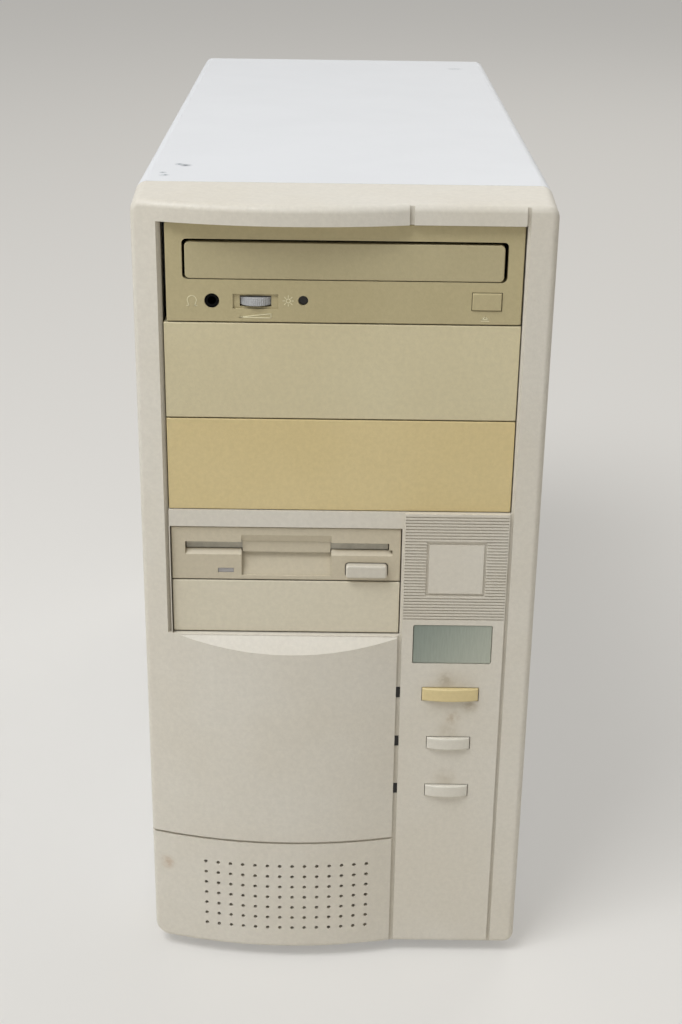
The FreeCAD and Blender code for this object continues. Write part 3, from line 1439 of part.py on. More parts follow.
def add_guard_wires(guard):
    """Rings and two crossed wires, and the eyes that the fan's screws hold."""
    reach = "fan_hole_spread"
    cross = [
        (f"fan_x - {reach} - 1", f"psu_z - {reach} + 1"),
        (f"fan_x - {reach} + 1", f"psu_z - {reach} - 1"),
        (f"fan_x + {reach} + 1", f"psu_z + {reach} - 1"),
        (f"fan_x + {reach} - 1", f"psu_z + {reach} + 1"),
    ]
    mirrored = [
        (f"fan_x - {reach} - 1", f"psu_z + {reach} - 1"),
        (f"fan_x + {reach} - 1", f"psu_z - {reach} - 1"),
        (f"fan_x + {reach} + 1", f"psu_z - {reach} + 1"),
        (f"fan_x - {reach} + 1", f"psu_z + {reach} + 1"),
    ]
    for bar in (cross, mirrored):
        guard.pad("XZ", "psu_back", "psu_back + guard_wire", bar)
    for radius in ("18", "26", "34"):
        guard.pad("XZ", "psu_back", "psu_back + guard_wire", ("fan_x", "psu_z", radius),
                  ("fan_x", "psu_z", f"{radius} - guard_wire"))


def sockets():
    """Inlet and outlet of the mains, one above the other."""
    left, right = "-socket_x - socket_width / 2 + 0.1", "-socket_x + socket_width / 2 - 0.1"
    for label, step in (("mains_inlet", "socket_pitch / 2"), ("monitor_outlet", "-socket_pitch / 2")):
        z = f"psu_z + {step}"
        shell = DrawnPiece(label)
        shell.pad("XZ", "psu_back - socket_depth", "psu_back",
                  rectangle(left, right, f"{z} - socket_height / 2 + 0.1", f"{z} + socket_height / 2 - 0.1"))
        shell.pad("XZ", "psu_back", "psu_back + socket_rim",
                  rectangle(f"{left} - 1.5", f"{right} + 1.5", f"{z} - socket_height / 2 - 1.5",
                            f"{z} + socket_height / 2 + 1.5"))
        cavity = [
            ("-socket_x - socket_cavity_width / 2", f"{z} - socket_cavity_height / 2"),
            ("-socket_x + socket_cavity_width / 2", f"{z} - socket_cavity_height / 2"),
            ("-socket_x + socket_cavity_width / 2", f"{z} + socket_cavity_height / 2 - 4"),
            ("-socket_x + socket_cavity_width / 2 - 4", f"{z} + socket_cavity_height / 2"),
            ("-socket_x - socket_cavity_width / 2 + 4", f"{z} + socket_cavity_height / 2"),
            ("-socket_x - socket_cavity_width / 2", f"{z} + socket_cavity_height / 2 - 4"),
        ]
        shell.cut("XZ", "psu_back - socket_depth + 2", "psu_back + socket_rim + 1", cavity)
        pins = [("-socket_x - 7", f"{z} - 2"), ("-socket_x + 7", f"{z} - 2"), ("-socket_x", f"{z} + 2")]
        if label == "mains_inlet":
            for x, height in pins:
                shell.pad("XZ", "psu_back - socket_depth + 1", "psu_back + socket_rim - 6",
                          rectangle(f"{x} - 1", f"{x} + 1", f"{height} - 2", f"{height} + 2"))
            continue
        shell.pad("XZ", "psu_back - socket_depth + 1", "psu_back + socket_rim - 1",
                  [(across.replace("socket_cavity_width / 2", "(socket_cavity_width / 2 - 1.6)"),
                    up.replace("socket_cavity_height / 2", "(socket_cavity_height / 2 - 1.6)"))
                   for across, up in cavity])
        shell.cut("XZ", "psu_back - socket_depth + 6", "psu_back + socket_rim",
                  *[rectangle(f"{x} - 1.2", f"{x} + 1.2", f"{height} - 2.4", f"{height} + 2.4") for x, height in pins])


# Main board


def main_board():
    """Board on its standoffs with bus sockets, processor, memory and the keyboard socket."""
    top = "board_base + board_height"
    piece("motherboard", joined(
        block("board_face_x", "board_x", "board_front", "board_back", "board_base", top),
        block("board_face_x - 3", "board_face_x", "board_front + 82", "board_front + 108", "board_base + 170",
              "board_base + 196"),
        block("board_face_x - 9", "board_face_x", "disk_ribbon_y", "disk_ribbon_y + ribbon_width",
              "disk_ribbon_z - 4", "disk_ribbon_z + 5"),
        block("board_face_x - 9", "board_face_x", "floppy_ribbon_y", "floppy_ribbon_y + floppy_ribbon_width",
              "floppy_header_z - 4", "floppy_header_z + 5"),
        block("board_face_x - 12", "board_face_x", "board_front + 150", "board_front + 202", f"{top} - 12", f"{top} - 4"),
    ))
    posts = [rod("X", "board_x", y, z, "3", "tray_stand")
             for y in ("board_front + 8", "board_back - 12") for z in ("board_base + 8", "board_base + 108", f"{top} - 8")]
    piece("standoffs", group(*posts))
    slots = []
    for index in range(int(number("slot_count"))):
        z = f"first_slot + {index} * slot_pitch - 3"
        slots.append(carved(
            block("board_face_x - bus_socket_height", "board_face_x", "bracket_y - 20 - bus_socket_length",
                  "bracket_y - 20", f"{z} - bus_socket_width / 2", f"{z} + bus_socket_width / 2"),
            block("board_face_x - bus_socket_height - 1", "board_face_x - 2", "bracket_y - 21 - bus_socket_length + 4",
                  "bracket_y - 24", f"{z} - 1", f"{z} + 1"),
        ))
    slots.extend(memory())
    piece("board_sockets", group(*slots))
    piece("keyboard_socket", carved(
        block("din_x - 10", "board_face_x", "bracket_y - 12", "bracket_y", "din_z - 10", "din_z + 10"),
        carved(rod("Y", "din_x", "bracket_y - 9", "din_z", "7.4", "10"),
               rod("Y", "din_x", "bracket_y - 10", "din_z", "6.2", "9.5"))))
    cpu_y, cpu_z = "cpu_y", "cpu_z"
    socket = block("board_face_x - 6", "board_face_x", "cpu_y - cpu_width / 2 - 2", "cpu_y + cpu_width / 2 + 6",
                   "cpu_z - cpu_width / 2 - 2", "cpu_z + cpu_width / 2 + 2")
    lever = block("board_face_x - 5", "board_face_x - 3.5", "cpu_y - cpu_width / 2", "cpu_y + cpu_width / 2",
                  "cpu_z + cpu_width / 2 + 2", "cpu_z + cpu_width / 2 + 3.5")
    piece("processor_socket", joined(socket, lever))
    piece("processor", group(block("board_face_x - 10", "board_face_x - 6", "cpu_y - cpu_width / 2", "cpu_y + cpu_width / 2",
                                   "cpu_z - cpu_width / 2", "cpu_z + cpu_width / 2")))
    sink = [block("board_face_x - 13", "board_face_x - 10", f"{cpu_y} - cpu_width / 2", f"{cpu_y} + cpu_width / 2",
                  f"{cpu_z} - cpu_width / 2", f"{cpu_z} + cpu_width / 2")]
    for index in range(9):
        z = f"cpu_z - cpu_width / 2 + {index} * (cpu_width - 2) / 8"
        sink.append(block("board_face_x - 10 - sink_height", "board_face_x - 12.5", f"{cpu_y} - cpu_width / 2",
                          f"{cpu_y} + cpu_width / 2", z, f"{z} + 2"))
    piece("heat_sink", joined(*sink))
    fan_x = "board_face_x - 10 - sink_height"
    piece("cpu_fan_frame", joined(
        carved(block(f"{fan_x} - cpu_fan_depth", fan_x, "cpu_y - cpu_width / 2", "cpu_y + cpu_width / 2",
                     "cpu_z - cpu_width / 2", "cpu_z + cpu_width / 2"),
               rod("X", f"{fan_x} - cpu_fan_depth - 1", "cpu_y", "cpu_z", "cpu_width / 2 - 2", "cpu_fan_depth + 2")),
        block(f"{fan_x} - 1.5", fan_x, "cpu_y - 1.5", "cpu_y + 1.5", "cpu_z - cpu_width / 2", "cpu_z + cpu_width / 2"),
        rod("X", f"{fan_x} - 5", "cpu_y", "cpu_z", "1.5", "4.5")))
    rotor = [rod("X", f"{fan_x} - cpu_fan_depth + 0.5", "cpu_y", "cpu_z", "11", "cpu_fan_depth - 2.3")]
    for index in range(7):
        rotor.append(small_blade(index, 7, fan_x))
    piece("cpu_fan_rotor", carved(joined(*rotor), rod("X", f"{fan_x} - 5.2", "cpu_y", "cpu_z", "1.5 + running_gap", "6")))


def small_blade(index, count, fan_x):
    """Blade of the processor fan, which turns about a line across the case."""
    plate = doc.addObject("Part::Box", "Blade")
    bind(plate, "Length", "cpu_width / 2 - 3 - 10")
    bind(plate, "Width", "1")
    bind(plate, "Height", "7")
    spoke = FreeCAD.Rotation(FreeCAD.Vector(1, 0, 0), 360.0 * index / count)
    stand = FreeCAD.Rotation(FreeCAD.Vector(0, 0, 1), 90)
    pitch = FreeCAD.Rotation(FreeCAD.Vector(1, 0, 0), 50)
    turn = spoke.multiply(stand).multiply(pitch)
    middle = FreeCAD.Vector(number(f"{fan_x} - cpu_fan_depth / 2"), number("cpu_y"), number("cpu_z"))
    plate.Placement = FreeCAD.Placement(
        middle + turn.multVec(FreeCAD.Vector(10, -0.5, -3.5)), turn
    )
    return plate


def memory():
    """Memory modules, and the sockets that they stand in."""
    sockets_made, modules = [], []
    low = "board_base + 96"
    for index in range(int(number("module_count"))):
        y = f"board_front + 12 + {index} * module_pitch"
        sockets_made.append(block("board_face_x - 8", "board_face_x", y, f"{y} + 7", low, f"{low} + module_length + 6"))
        modules.append(block("board_face_x - 8 - module_height", "board_face_x - 8", f"{y} + 2.5", f"{y} + 4",
                             f"{low} + 3", f"{low} + 3 + module_length"))
    piece("memory_modules", group(*modules))
    return sockets_made


def bracket(label, index, extra):
    """Expansion bracket with its folded tab, and whatever it carries."""
    z = f"first_slot + {index} * slot_pitch"
    end = "-tub_left - sheet"
    plate = block(f"{end} - bracket_thickness", f"{end} - bracket_thickness + bracket_length", "bracket_y - bracket_thickness",
                  "bracket_y", f"{z} - bracket_width / 2", f"{z} + bracket_width / 2")
    tab = block(f"{end} - bracket_thickness", end, "bracket_y - bracket_thickness", "bracket_y + 11",
                f"{z} - bracket_width / 2", f"{z} + bracket_width / 2")
    hole = rod("X", f"{end} - 3", "tab_y", z, "screw_radius + 0.2", "6")
    return carved(joined(plate, tab, *extra), hole)


def d_shell(width, height, start, end, z):
    """Slant-ended block of a sub-miniature port, wide side up, between two depths."""
    wedge = doc.addObject("Part::Wedge", "Shell")
    wedge.Placement = FreeCAD.Placement(FreeCAD.Vector(), FreeCAD.Rotation(FreeCAD.Vector(1, 0, 0), 90))
    for field, text in (
        ("Xmin", f"1.2 - {width} / 2"),
        ("Xmax", f"{width} / 2 - 1.2"),
        ("X2min", f"-{width} / 2"),
        ("X2max", f"{width} / 2"),
        ("Ymin", "0"),
        ("Ymax", height),
        ("Zmin", "0"),
        ("Zmax", f"({end}) - ({start})"),
        ("Z2min", "0"),
        ("Z2max", f"({end}) - ({start})"),
    ):
        bind(wedge, field, text)
    for field, place in (("x", "port_x"), ("y", end), ("z", f"{z} - {height} / 2")):
        bind(wedge, f"Placement.Base.{field}", place)
    return wedge


def port(width, z):
    """Flange, hollow shell and inner block of a port, with the two posts at its ends."""
    front = "bracket_y"
    mouth = f"{front} + port_proud"
    shell = carved(
        joined(
            block(f"port_x - {width} / 2 - 7", f"port_x + {width} / 2 + 7", front, f"{front} + 1", f"{z} - 6", f"{z} + 6"),
            d_shell(width, "8", front, mouth, z),
        ),
        d_shell(f"({width} - 1.4)", "6.6", f"{front} + 1", f"{mouth} + 1", z),
    )
    posts = [rod("Y", f"port_x {side} ({width} / 2 + 4)", front, z, "2.2", "port_proud - 1") for side in "-+"]
    return [shell, d_shell(f"({width} - 2)", "6", front, f"{mouth} - 0.4", z), *posts]


def cards():
    """Display card, parallel port bracket and the blank brackets of the other slots."""
    z = "first_slot + 4 * slot_pitch"
    edge = "board_face_x - bus_socket_height - 0.5"
    video = [
        block(f"{edge} - card_height", edge, "bracket_y - card_length", "bracket_y - bracket_thickness",
              f"{z} - 3.8", f"{z} - 2.2"),
        block(f"{edge} - 1", "board_face_x - 3", "bracket_y - 150", "bracket_y - 26", f"{z} - 3.8", f"{z} - 2.2"),
        block("board_face_x - 60", "board_face_x - 30", "bracket_y - 90", "bracket_y - 60", f"{z} - 2.2", f"{z} + 1.2"),
        block("port_x - 15", "port_x + 15", "bracket_y - 12", "bracket_y", f"{z} - 5", f"{z} + 5"),
        *port("16.6", z),
    ]
    piece("video_card", bracket("video_card", 4, video))
    z = "first_slot + 6 * slot_pitch"
    parallel = [
        block("port_x - 24", "port_x + 24", "bracket_y - 10", "bracket_y", f"{z} - 5", f"{z} + 5"),
        *port("39", z),
    ]
    piece("parallel_port", bracket("parallel_port", 6, parallel))
    piece("slot_covers", group(*[bracket("slot_cover", index, []) for index in (0, 1, 2, 3, 5)]))


def ribbons():
    """Flat cables: hard disk and compact disc drive to the board, and diskette drive to the board."""
    left, right = "-ribbon_left", "-ribbon_left + ribbon_width"
    thick = "ribbon_thickness"
    drop_y = "ribbon_drop_y"
    end_y = "disk_ribbon_y + ribbon_width"
    plug_z = "disk_header_z"
    cable = DrawnPiece("drive_ribbon")
    cable.pad("YZ", left, right, [
        ("disk_plug_y", plug_z),
        (f"{drop_y} + {thick}", plug_z),
        (f"{drop_y} + {thick}", f"cd_header_z + {thick}"),
        ("cd_back_y", f"cd_header_z + {thick}"),
        ("cd_back_y", "cd_header_z"),
        (drop_y, "cd_header_z"),
        (drop_y, f"{plug_z} + {thick}"),
        ("disk_plug_y", f"{plug_z} + {thick}"),
    ])
    cable.pad("YZ", left, right, [
        ("disk_plug_y", f"{plug_z} - {thick}"),
        (f"{drop_y} - 8", f"{plug_z} - {thick}"),
        (f"{drop_y} + 1", "disk_ribbon_z"),
        (end_y, "disk_ribbon_z"),
        (end_y, f"disk_ribbon_z + {thick}"),
        (f"{drop_y} + 2", f"disk_ribbon_z + {thick}"),
        (f"{drop_y} - 7", plug_z),
        ("disk_plug_y", plug_z),
    ])
    cable.pad("XZ", "disk_ribbon_y", end_y,
              rectangle(right, "board_face_x - 9", "disk_ribbon_z", f"disk_ribbon_z + {thick}"))
    small = DrawnPiece("floppy_ribbon")
    low = "floppy_header_z"
    small.pad("XZ", "floppy_depth", "floppy_ribbon_y",
              rectangle("-floppy_ribbon_left", "-floppy_ribbon_left + floppy_ribbon_width", low, f"{low} + {thick}"))
    small.pad("XZ", "floppy_ribbon_y", "floppy_ribbon_y + floppy_ribbon_width",
              rectangle("-floppy_ribbon_left", "board_face_x - 9", low, f"{low} + {thick}"))


def tube(points, radius):
    """Round tube along straight runs that are joined by arcs."""
    spots = [FreeCAD.Vector(*[number(text) for text in point]) for point in points]
    runs = [(spots[i + 1] - spots[i]).Length for i in range(len(spots) - 1)]
    edges = []
    here = spots[0]
    for i in range(1, len(spots) - 1):
        back = (spots[i - 1] - spots[i]).normalize()
        ahead = (spots[i + 1] - spots[i]).normalize()
        half_turn = (math.pi - back.getAngle(ahead)) / 2
        reach = 0.45 * min(runs[i - 1], runs[i])
        bend = reach / math.tan(half_turn)
        start, end = spots[i] + back * reach, spots[i] + ahead * reach
        inward = (back + ahead).normalize()
        middle = spots[i] + inward * (bend / math.cos(half_turn) - bend)
        edges += [Part.LineSegment(here, start).toShape(), Part.Arc(start, middle, end).toShape()]
        here = end
    edges.append(Part.LineSegment(here, spots[-1]).toShape())
    path = Part.Wire(edges)
    section = Part.Wire(Part.Circle(spots[0], spots[1] - spots[0], radius).toShape())
    solid = path.makePipeShell([section], True, False)
    expected = math.pi * radius ** 2 * path.Length
    if abs(solid.Volume / expected - 1) > 0.02:
        raise RuntimeError("a cable's volume is not its section times its length")
    return solid


def power_harness():
    """Three bundles of wire from the power supply to the board and the drives, with their plugs."""
    radius = number("harness_radius")
    routes = [
        [("50", "psu_front", "psu_base + 20"), ("50", "psu_front - 24", "psu_base + 20"),
         ("56", "psu_front - 30", "psu_base - 12"), ("60", "psu_front + 8", "psu_base - 30"),
         ("board_face_x - 16", "board_front + 160", "board_base + board_height - 8")],
        [("45", "psu_front", "psu_base + 50"), ("45", "psu_front - 26", "psu_base + 50"),
         ("46", "cd_back_y + 30", "cd_header_z + 2"), ("46", "cd_back_y + 10", "cd_header_z + 2")],
        [("35", "psu_front", "psu_base + 34"), ("35", "psu_front - 20", "psu_base + 34"),
         ("34", "psu_front - 42", "psu_base - 20"), ("34", "disk_plug_y + 44", "disk_header_z + 40"),
         ("34", "disk_plug_y + 40", "disk_header_z + 4"), ("14", "disk_plug_y + 30", "disk_header_z"),
         ("14", "disk_plug_y + 8", "disk_header_z")],
    ]
    shapes = [tube(points, radius) for points in routes]
    plugs = [
        ("board_face_x - 22", "board_face_x - 12", "board_front + 151", "board_front + 201",
         "board_base + board_height - 12", "board_base + board_height - 4"),
        ("35", "57", "cd_back_y", "cd_back_y + 12", "cd_header_z - 2", "cd_header_z + 6"),
        ("3", "25", "disk_plug_y", "disk_plug_y + 10", "disk_header_z - 4", "disk_header_z + 4"),
    ]
    for left, right, front, back, low, high in plugs:
        corner = FreeCAD.Vector(number(left), number(front), number(low))
        far = FreeCAD.Vector(number(right), number(back), number(high))
        shapes.append(Part.makeBox(*(far - corner), corner))
    harness = doc.addObject("Part::Feature", "power_harness")
    harness.Shape = shapes[0].multiFuse(shapes[1:])
    piece("power_harness", harness)


def hard_disk():
    """Hard disk behind the lower small cover."""
    z = "small_base + small_gap"
    piece("hard_disk", joined(
        block("small_middle - small_front_width / 2", "small_middle + small_front_width / 2", "disk_plug_y - 146",
              "disk_plug_y", z, f"{z} + small_front_height - 1"),
        rod("Z", "small_middle", "75", f"{z} + small_front_height - 1.5", "38", "1.5")))


def build():
    """Make every piece, outside first."""
    front_bezel()
    label_plate()
    push_button("power_button", "0", "power_width", "power_height")
    push_button("turbo_button", "button_pitch", "button_width", "button_height")
    push_button("reset_button", "2 * button_pitch", "button_width", "button_height")
    switches()
    indicator_lamps()
    bay_covers()
    top_cover()
    base_pan()
    feet()
    front_frame()
    speaker()
    rear_panel()
    motherboard_tray()
    cages()
    screws()
    cdrom()
    floppy_drive()
    hard_disk()
    power_supply()
    main_board()
    cards()
    ribbons()
    power_harness()


def check_and_write():
    """Stop if anything failed, then write one file for each piece."""
    doc.recompute()
    for item in doc.Objects:
        if "Invalid" in item.State or "Error" in item.State:
            raise RuntimeError(f"{item.Label} failed: {item.State}")
    os.makedirs("parts", exist_ok=True)
    for item in pieces:
        shape = item.Shape
        if shape.isNull() or not shape.isValid():
            raise RuntimeError(f"{item.Label} is not a sound solid")
        shape.exportStep(os.path.join("parts", f"{item.Label}.step"))
    print(f"{len(pieces)} pieces written")


build()
check_and_write()
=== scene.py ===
"""Looks of a beige mini tower computer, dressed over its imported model.

The row frame is in metres: +Z up, the front towards -Y, the origin on the floor under the middle.
Sizes in the classes are in millimetres, as a maker would write them.
"""

import json
import logging
import math
from dataclasses import dataclass
from enum import Enum
from typing import Any, Callable, ClassVar, Iterable

import bmesh
import bpy
from mathutils import Matrix, Vector

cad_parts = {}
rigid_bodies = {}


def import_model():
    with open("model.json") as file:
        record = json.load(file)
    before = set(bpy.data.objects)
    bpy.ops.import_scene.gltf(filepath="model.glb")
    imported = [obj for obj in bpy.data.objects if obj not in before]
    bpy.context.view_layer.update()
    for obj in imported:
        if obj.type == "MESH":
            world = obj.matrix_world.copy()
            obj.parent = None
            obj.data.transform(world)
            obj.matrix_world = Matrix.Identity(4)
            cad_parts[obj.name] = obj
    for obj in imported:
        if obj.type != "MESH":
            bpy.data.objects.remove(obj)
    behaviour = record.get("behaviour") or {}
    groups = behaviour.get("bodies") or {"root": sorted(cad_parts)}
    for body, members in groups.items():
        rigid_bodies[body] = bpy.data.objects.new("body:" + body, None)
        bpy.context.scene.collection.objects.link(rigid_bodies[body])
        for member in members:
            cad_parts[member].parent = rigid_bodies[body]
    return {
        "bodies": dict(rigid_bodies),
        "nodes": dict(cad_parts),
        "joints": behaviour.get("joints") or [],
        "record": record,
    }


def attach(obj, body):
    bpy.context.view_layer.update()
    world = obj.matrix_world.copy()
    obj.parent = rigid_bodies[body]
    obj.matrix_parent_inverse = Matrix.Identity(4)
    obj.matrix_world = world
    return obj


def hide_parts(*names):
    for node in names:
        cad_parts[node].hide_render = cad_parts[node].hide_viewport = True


MM = 0.001
SHARP = math.radians(38)
# Shares of a screw head's height or radius, and the gap that counts as none, in millimetres
DOME = 0.45
CROSS_REACH = 0.55
CROSS_HALF = 0.15
CROSS_DEPTH = 0.45
TINY = 1e-7
SMOOTH = {"interpolation_type": "SMOOTHSTEP"}
LOG = logging.getLogger("tower")
Point = tuple[float, float, float]
Flat = tuple[float, float]
Socket = bpy.types.NodeSocket
Material = bpy.types.Material
Shape = bmesh.types.BMesh
Test = Callable[[Vector], bool]


class Facing(Enum):
    """Way that a screw or a disc of painted hole shade faces, as its turn about Z from the front in degrees.
    """

    BACK = 180
    LEFT = -90

    def turn(self) -> Matrix:
        """Turn that brings local Z to this way, with local Y kept upright."""
        upright = Matrix.Rotation(math.radians(90), 4, "X")
        return Matrix.Rotation(math.radians(self.value), 4, "Z") @ upright


def linear(hex_colour: str, alpha: float = 1.0) -> tuple[float, float, float, float]:
    """Turn an sRGB hex value to a linear colour.

    Args:
        hex_colour: Six hex digits.
        alpha: Opacity from 0 to 1.

    Returns:
        Red, green, blue and alpha as a shader wants them.
    """
    parts = [int(hex_colour[i : i + 2], 16) / 255 for i in (0, 2, 4)]
    bent = [c / 12.92 if c <= 0.04045 else ((c + 0.055) / 1.055) ** 2.4 for c in parts]
    return (bent[0], bent[1], bent[2], alpha)


def add_node(
    tree: bpy.types.NodeTree,
    kind: str,
    inputs: dict[Any, Any] | None = None,
    **settings: Any,
) -> bpy.types.Node:
    """Add one node with its settings, values and links.

    Args:
        tree: Node tree that the node joins.
        kind: Node type without the "ShaderNode" in front of it.
        inputs: Input name or index to a value, or to the output that feeds it.
        **settings: Node properties by name.

    Returns:
        The new node.
    """
    node = tree.nodes.new("ShaderNode" + kind)
    for name, value in settings.items():
        setattr(node, name, value)
    for name, value in (inputs or {}).items():
        if isinstance(value, Socket):
            tree.links.new(value, node.inputs[name])
        else:
            node.inputs[name].default_value = value
    return node


@dataclass(frozen=True)
class Stain:
    """Soft round patch of dirt, rust or wear at a place on the machine, in millimetres."""

    place: Point
    reach: float
    colour: str
    strength: float
    solid: float = 0.0


@dataclass(frozen=True)
class Clouds:
    """Cloudy pattern of a real size in millimetres, spread between two values."""

    size: float
    start: float = 0.0
    end: float = 1.0
    low: float = 0.3
    high: float = 0.7
    detail: float = 2.0
    rough: float = 0.5
    stretch: Point = (1.0, 1.0, 1.0)


class Surface:
    """One material while it is put together, on the machine's own coordinates."""

    def __init__(self, name: str) -> None:
        """Start an empty material."""
        self.material = bpy.data.materials.new(name)
        self.material.use_nodes = True
        self.tree = self.material.node_tree
        self.tree.nodes.clear()
        self.place: Socket = add_node(self.tree, "TexCoord").outputs["Object"]

    def clouds(self, pattern: Clouds) -> Socket:
        """Lay a cloudy pattern.

        Args:
            pattern: Its size, spread and fineness.

        Returns:
            Output between the pattern's start and end.
        """
        scale = tuple(1 / (pattern.size * MM * s) for s in pattern.stretch)
        spread = add_node(self.tree, "Mapping", {"Vector": self.place, "Scale": scale})
        fineness = {"Scale": 1.0, "Detail": pattern.detail, "Roughness": pattern.rough}
        noise = add_node(self.tree, "TexNoise", {"Vector": spread.outputs[0], **fineness})
        spans = {"From Min": pattern.low, "From Max": pattern.high}
        spans |= {"To Min": pattern.start, "To Max": pattern.end}
        ramp = add_node(self.tree, "MapRange", {"Value": noise.outputs["Fac"], **spans}, **SMOOTH)
        return ramp.outputs["Result"]

    def patchy(self, below: Any, above: str, pattern: Clouds) -> Socket:
        """Lay a second colour over a first in cloudy patches.

        Args:
            below: First colour, or its output.
            above: Hex value of the second.
            pattern: Where the second colour lies.

        Returns:
            Both colours.
        """
        inputs = {0: self.clouds(pattern), 6: below, 7: linear(above)}
        return add_node(self.tree, "Mix", inputs, data_type="RGBA").outputs[2]

    def mottled(self, colour: Any, pattern: Clouds) -> Socket:
        """Darken and lighten a colour in cloudy patches.

        Args:
            colour: Colour, or its output.
            pattern: Share of the colour that is left.

        Returns:
            Mottled colour.
        """
        inputs = {0: 1.0, 6: colour, 7: self.clouds(pattern)}
        return add_node(self.tree, "Mix", inputs, data_type="RGBA", blend_type="MULTIPLY").outputs[2]

    def dirt_and_shade_in_gaps(self, colour: Any, dirt: str, reach: float, share: float) -> Socket:
        """Darken the corners and gaps with dirt and painted shade.

        Args:
            colour: Colour that the dirt and painted shade lie on.
            dirt: Hex value of the dirt and painted shade.
            reach: How far from a corner it reaches, in millimetres.
            share: Share of it in the deepest corners.

        Returns:
            Colour with the dirt and painted shade.
        """
        # Ambient occlusion darkens corners and gaps: painted shade, which stands for dirt as well.
        gaps = add_node(self.tree, "AmbientOcclusion", {"Distance": reach * MM}, samples=6)
        spans = {"From Min": 0.75, "From Max": 0.2, "To Max": share}
        amount = add_node(self.tree, "MapRange", {"Value": gaps.outputs["AO"], **spans}, **SMOOTH)
        inputs = {0: amount.outputs["Result"], 6: colour, 7: linear(dirt)}
        return add_node(self.tree, "Mix", inputs, data_type="RGBA").outputs[2]

    def stained(self, colour: Socket, stains: Iterable[Stain]) -> Socket:
        """Lay soft broken patches over a colour.

        Args:
            colour: Colour below the patches.
            stains: Patches to lay.

        Returns:
            Colour with the patches.
        """
        for stain in stains:
            centre = tuple(c * MM for c in stain.place)
            away = add_node(self.tree, "VectorMath", {0: self.place, 1: centre}, operation="DISTANCE")
            spans = {"From Min": stain.reach * MM, "From Max": 0.0, "To Max": stain.strength}
            near = add_node(self.tree, "MapRange", {"Value": away.outputs["Value"], **spans}, **SMOOTH)
            broken = self.clouds(
                Clouds(stain.reach * 0.5, stain.solid, low=0.35, high=0.6, detail=4, rough=0.65)
            )
            both = {0: near.outputs["Result"], 1: broken}
            share = add_node(self.tree, "Math", both, operation="MULTIPLY")
            inputs = {0: share.outputs[0], 6: colour, 7: linear(stain.colour)}
            colour = add_node(self.tree, "Mix", inputs, data_type="RGBA").outputs[2]
        return colour

    def finish(
        self,
        colour: Any,
        roughness: Any,
        height: Socket | None = None,
        depth: float = 0.0,
        **fixed: float,
    ) -> Material:
        """Close the material with its shader.

        Args:
            colour: Colour or output of the base.
            roughness: Number or output.
            height: Output that raises the surface, from 0 to 1.
            depth: Height of 1 in millimetres.
            **fixed: Other shader sockets, with a low line for each space.

        Returns:
            The finished material.
        """
        sockets = {name.replace("_", " "): value for name, value in fixed.items()}
        base = {"Base Color": colour, "Roughness": roughness}
        shader = add_node(self.tree, "BsdfPrincipled", {**base, **sockets})
        if height is not None:
            bump = add_node(self.tree, "Bump", {"Height": height, "Strength": 1.0, "Distance": depth * MM})
            self.tree.links.new(bump.outputs[0], shader.inputs["Normal"])
        add_node(self.tree, "OutputMaterial", {"Surface": shader.outputs[0]})
        return self.material


@dataclass(frozen=True)
class Finish:
    """A finish that makes its material once."""

    made: ClassVar[dict[str, Material]] = {}
    name: str

    def material(self) -> Material:
        """Give the finish's material, and make it the first time.

        Returns:
            The material.
        """
        if self.name not in Finish.made:
            Finish.made[self.name] = self.build(Surface(self.name))
        return Finish.made[self.name]

    def build(self, surface: Surface) -> Material:
        """Put the material together."""
        raise NotImplementedError


@dataclass(frozen=True)
class MouldedAbs(Finish):
    """ABS moulded in a spark-textured tool: an even matt grain, aged by light to yellow."""

    colour: str
    aged: str
    ageing: float = 0.5
    roughness: float = 0.48
    # Colour and share of the darkening in corners and gaps: dirt and painted shade.
    dirt: str = "5E5645"
    dirt_share: float = 0.45
    stains: tuple[Stain, ...] = ()

    def build(self, surface: Surface) -> Material:
        """Cloudy yellowing, dirt and painted shade in the corners, any stains, and the grain.

        Args:
            surface: Empty material.

        Returns:
            The finished material.
        """
        ageing = Clouds(size=70, start=self.ageing * 0.45, end=self.ageing, detail=3)
        colour = surface.patchy(linear(self.colour), self.aged, ageing)
        mottling = Clouds(size=2.2, start=0.95, end=1.03, low=0.25, high=0.8, detail=3, rough=0.7)
        colour = surface.mottled(colour, mottling)
        # Dirt and painted shade in the corners and gaps.
        colour = surface.dirt_and_shade_in_gaps(colour, self.dirt, 3.0, self.dirt_share)
        colour = surface.stained(colour, self.stains)
        rough = surface.clouds(Clouds(size=18, start=self.roughness - 0.05, end=self.roughness + 0.06))
        # The real spark grain is about 0.1 mm; it is drawn coarser so that it shows.
        grain = surface.clouds(Clouds(size=0.9, low=0.0, high=1.0, rough=0.6))
        return surface.finish(colour, rough, grain, 0.05, IOR=1.54)


@dataclass(frozen=True)
class StovedEnamel(Finish):
    """Sheet steel in stoved enamel: an even, cool white with a fine orange peel."""

    colour: str
    shade: str
    roughness: float = 0.46
    stains: tuple[Stain, ...] = ()

    def build(self, surface: Surface) -> Material:
        """Faint film of dust, the scuffs and the peel.

        Args:
            surface: Empty material.

        Returns:
            The finished material.
        """
        film = Clouds(size=45, end=0.8, high=0.75, detail=4, rough=0.6)
        colour = surface.patchy(linear(self.colour), self.shade, film)
        # Dirt and painted shade in the corners and gaps of the cover.
        colour = surface.dirt_and_shade_in_gaps(colour, "6A675E", 3.0, 0.35)
        colour = surface.stained(colour, self.stains)
        gloss = Clouds(size=25, start=self.roughness - 0.02, end=self.roughness + 0.03, detail=3)
        rough = surface.clouds(gloss)
        peel = surface.clouds(Clouds(size=1.6, low=0.0, high=1.0, rough=0.55))
        return surface.finish(colour, rough, peel, 0.07, IOR=1.5)


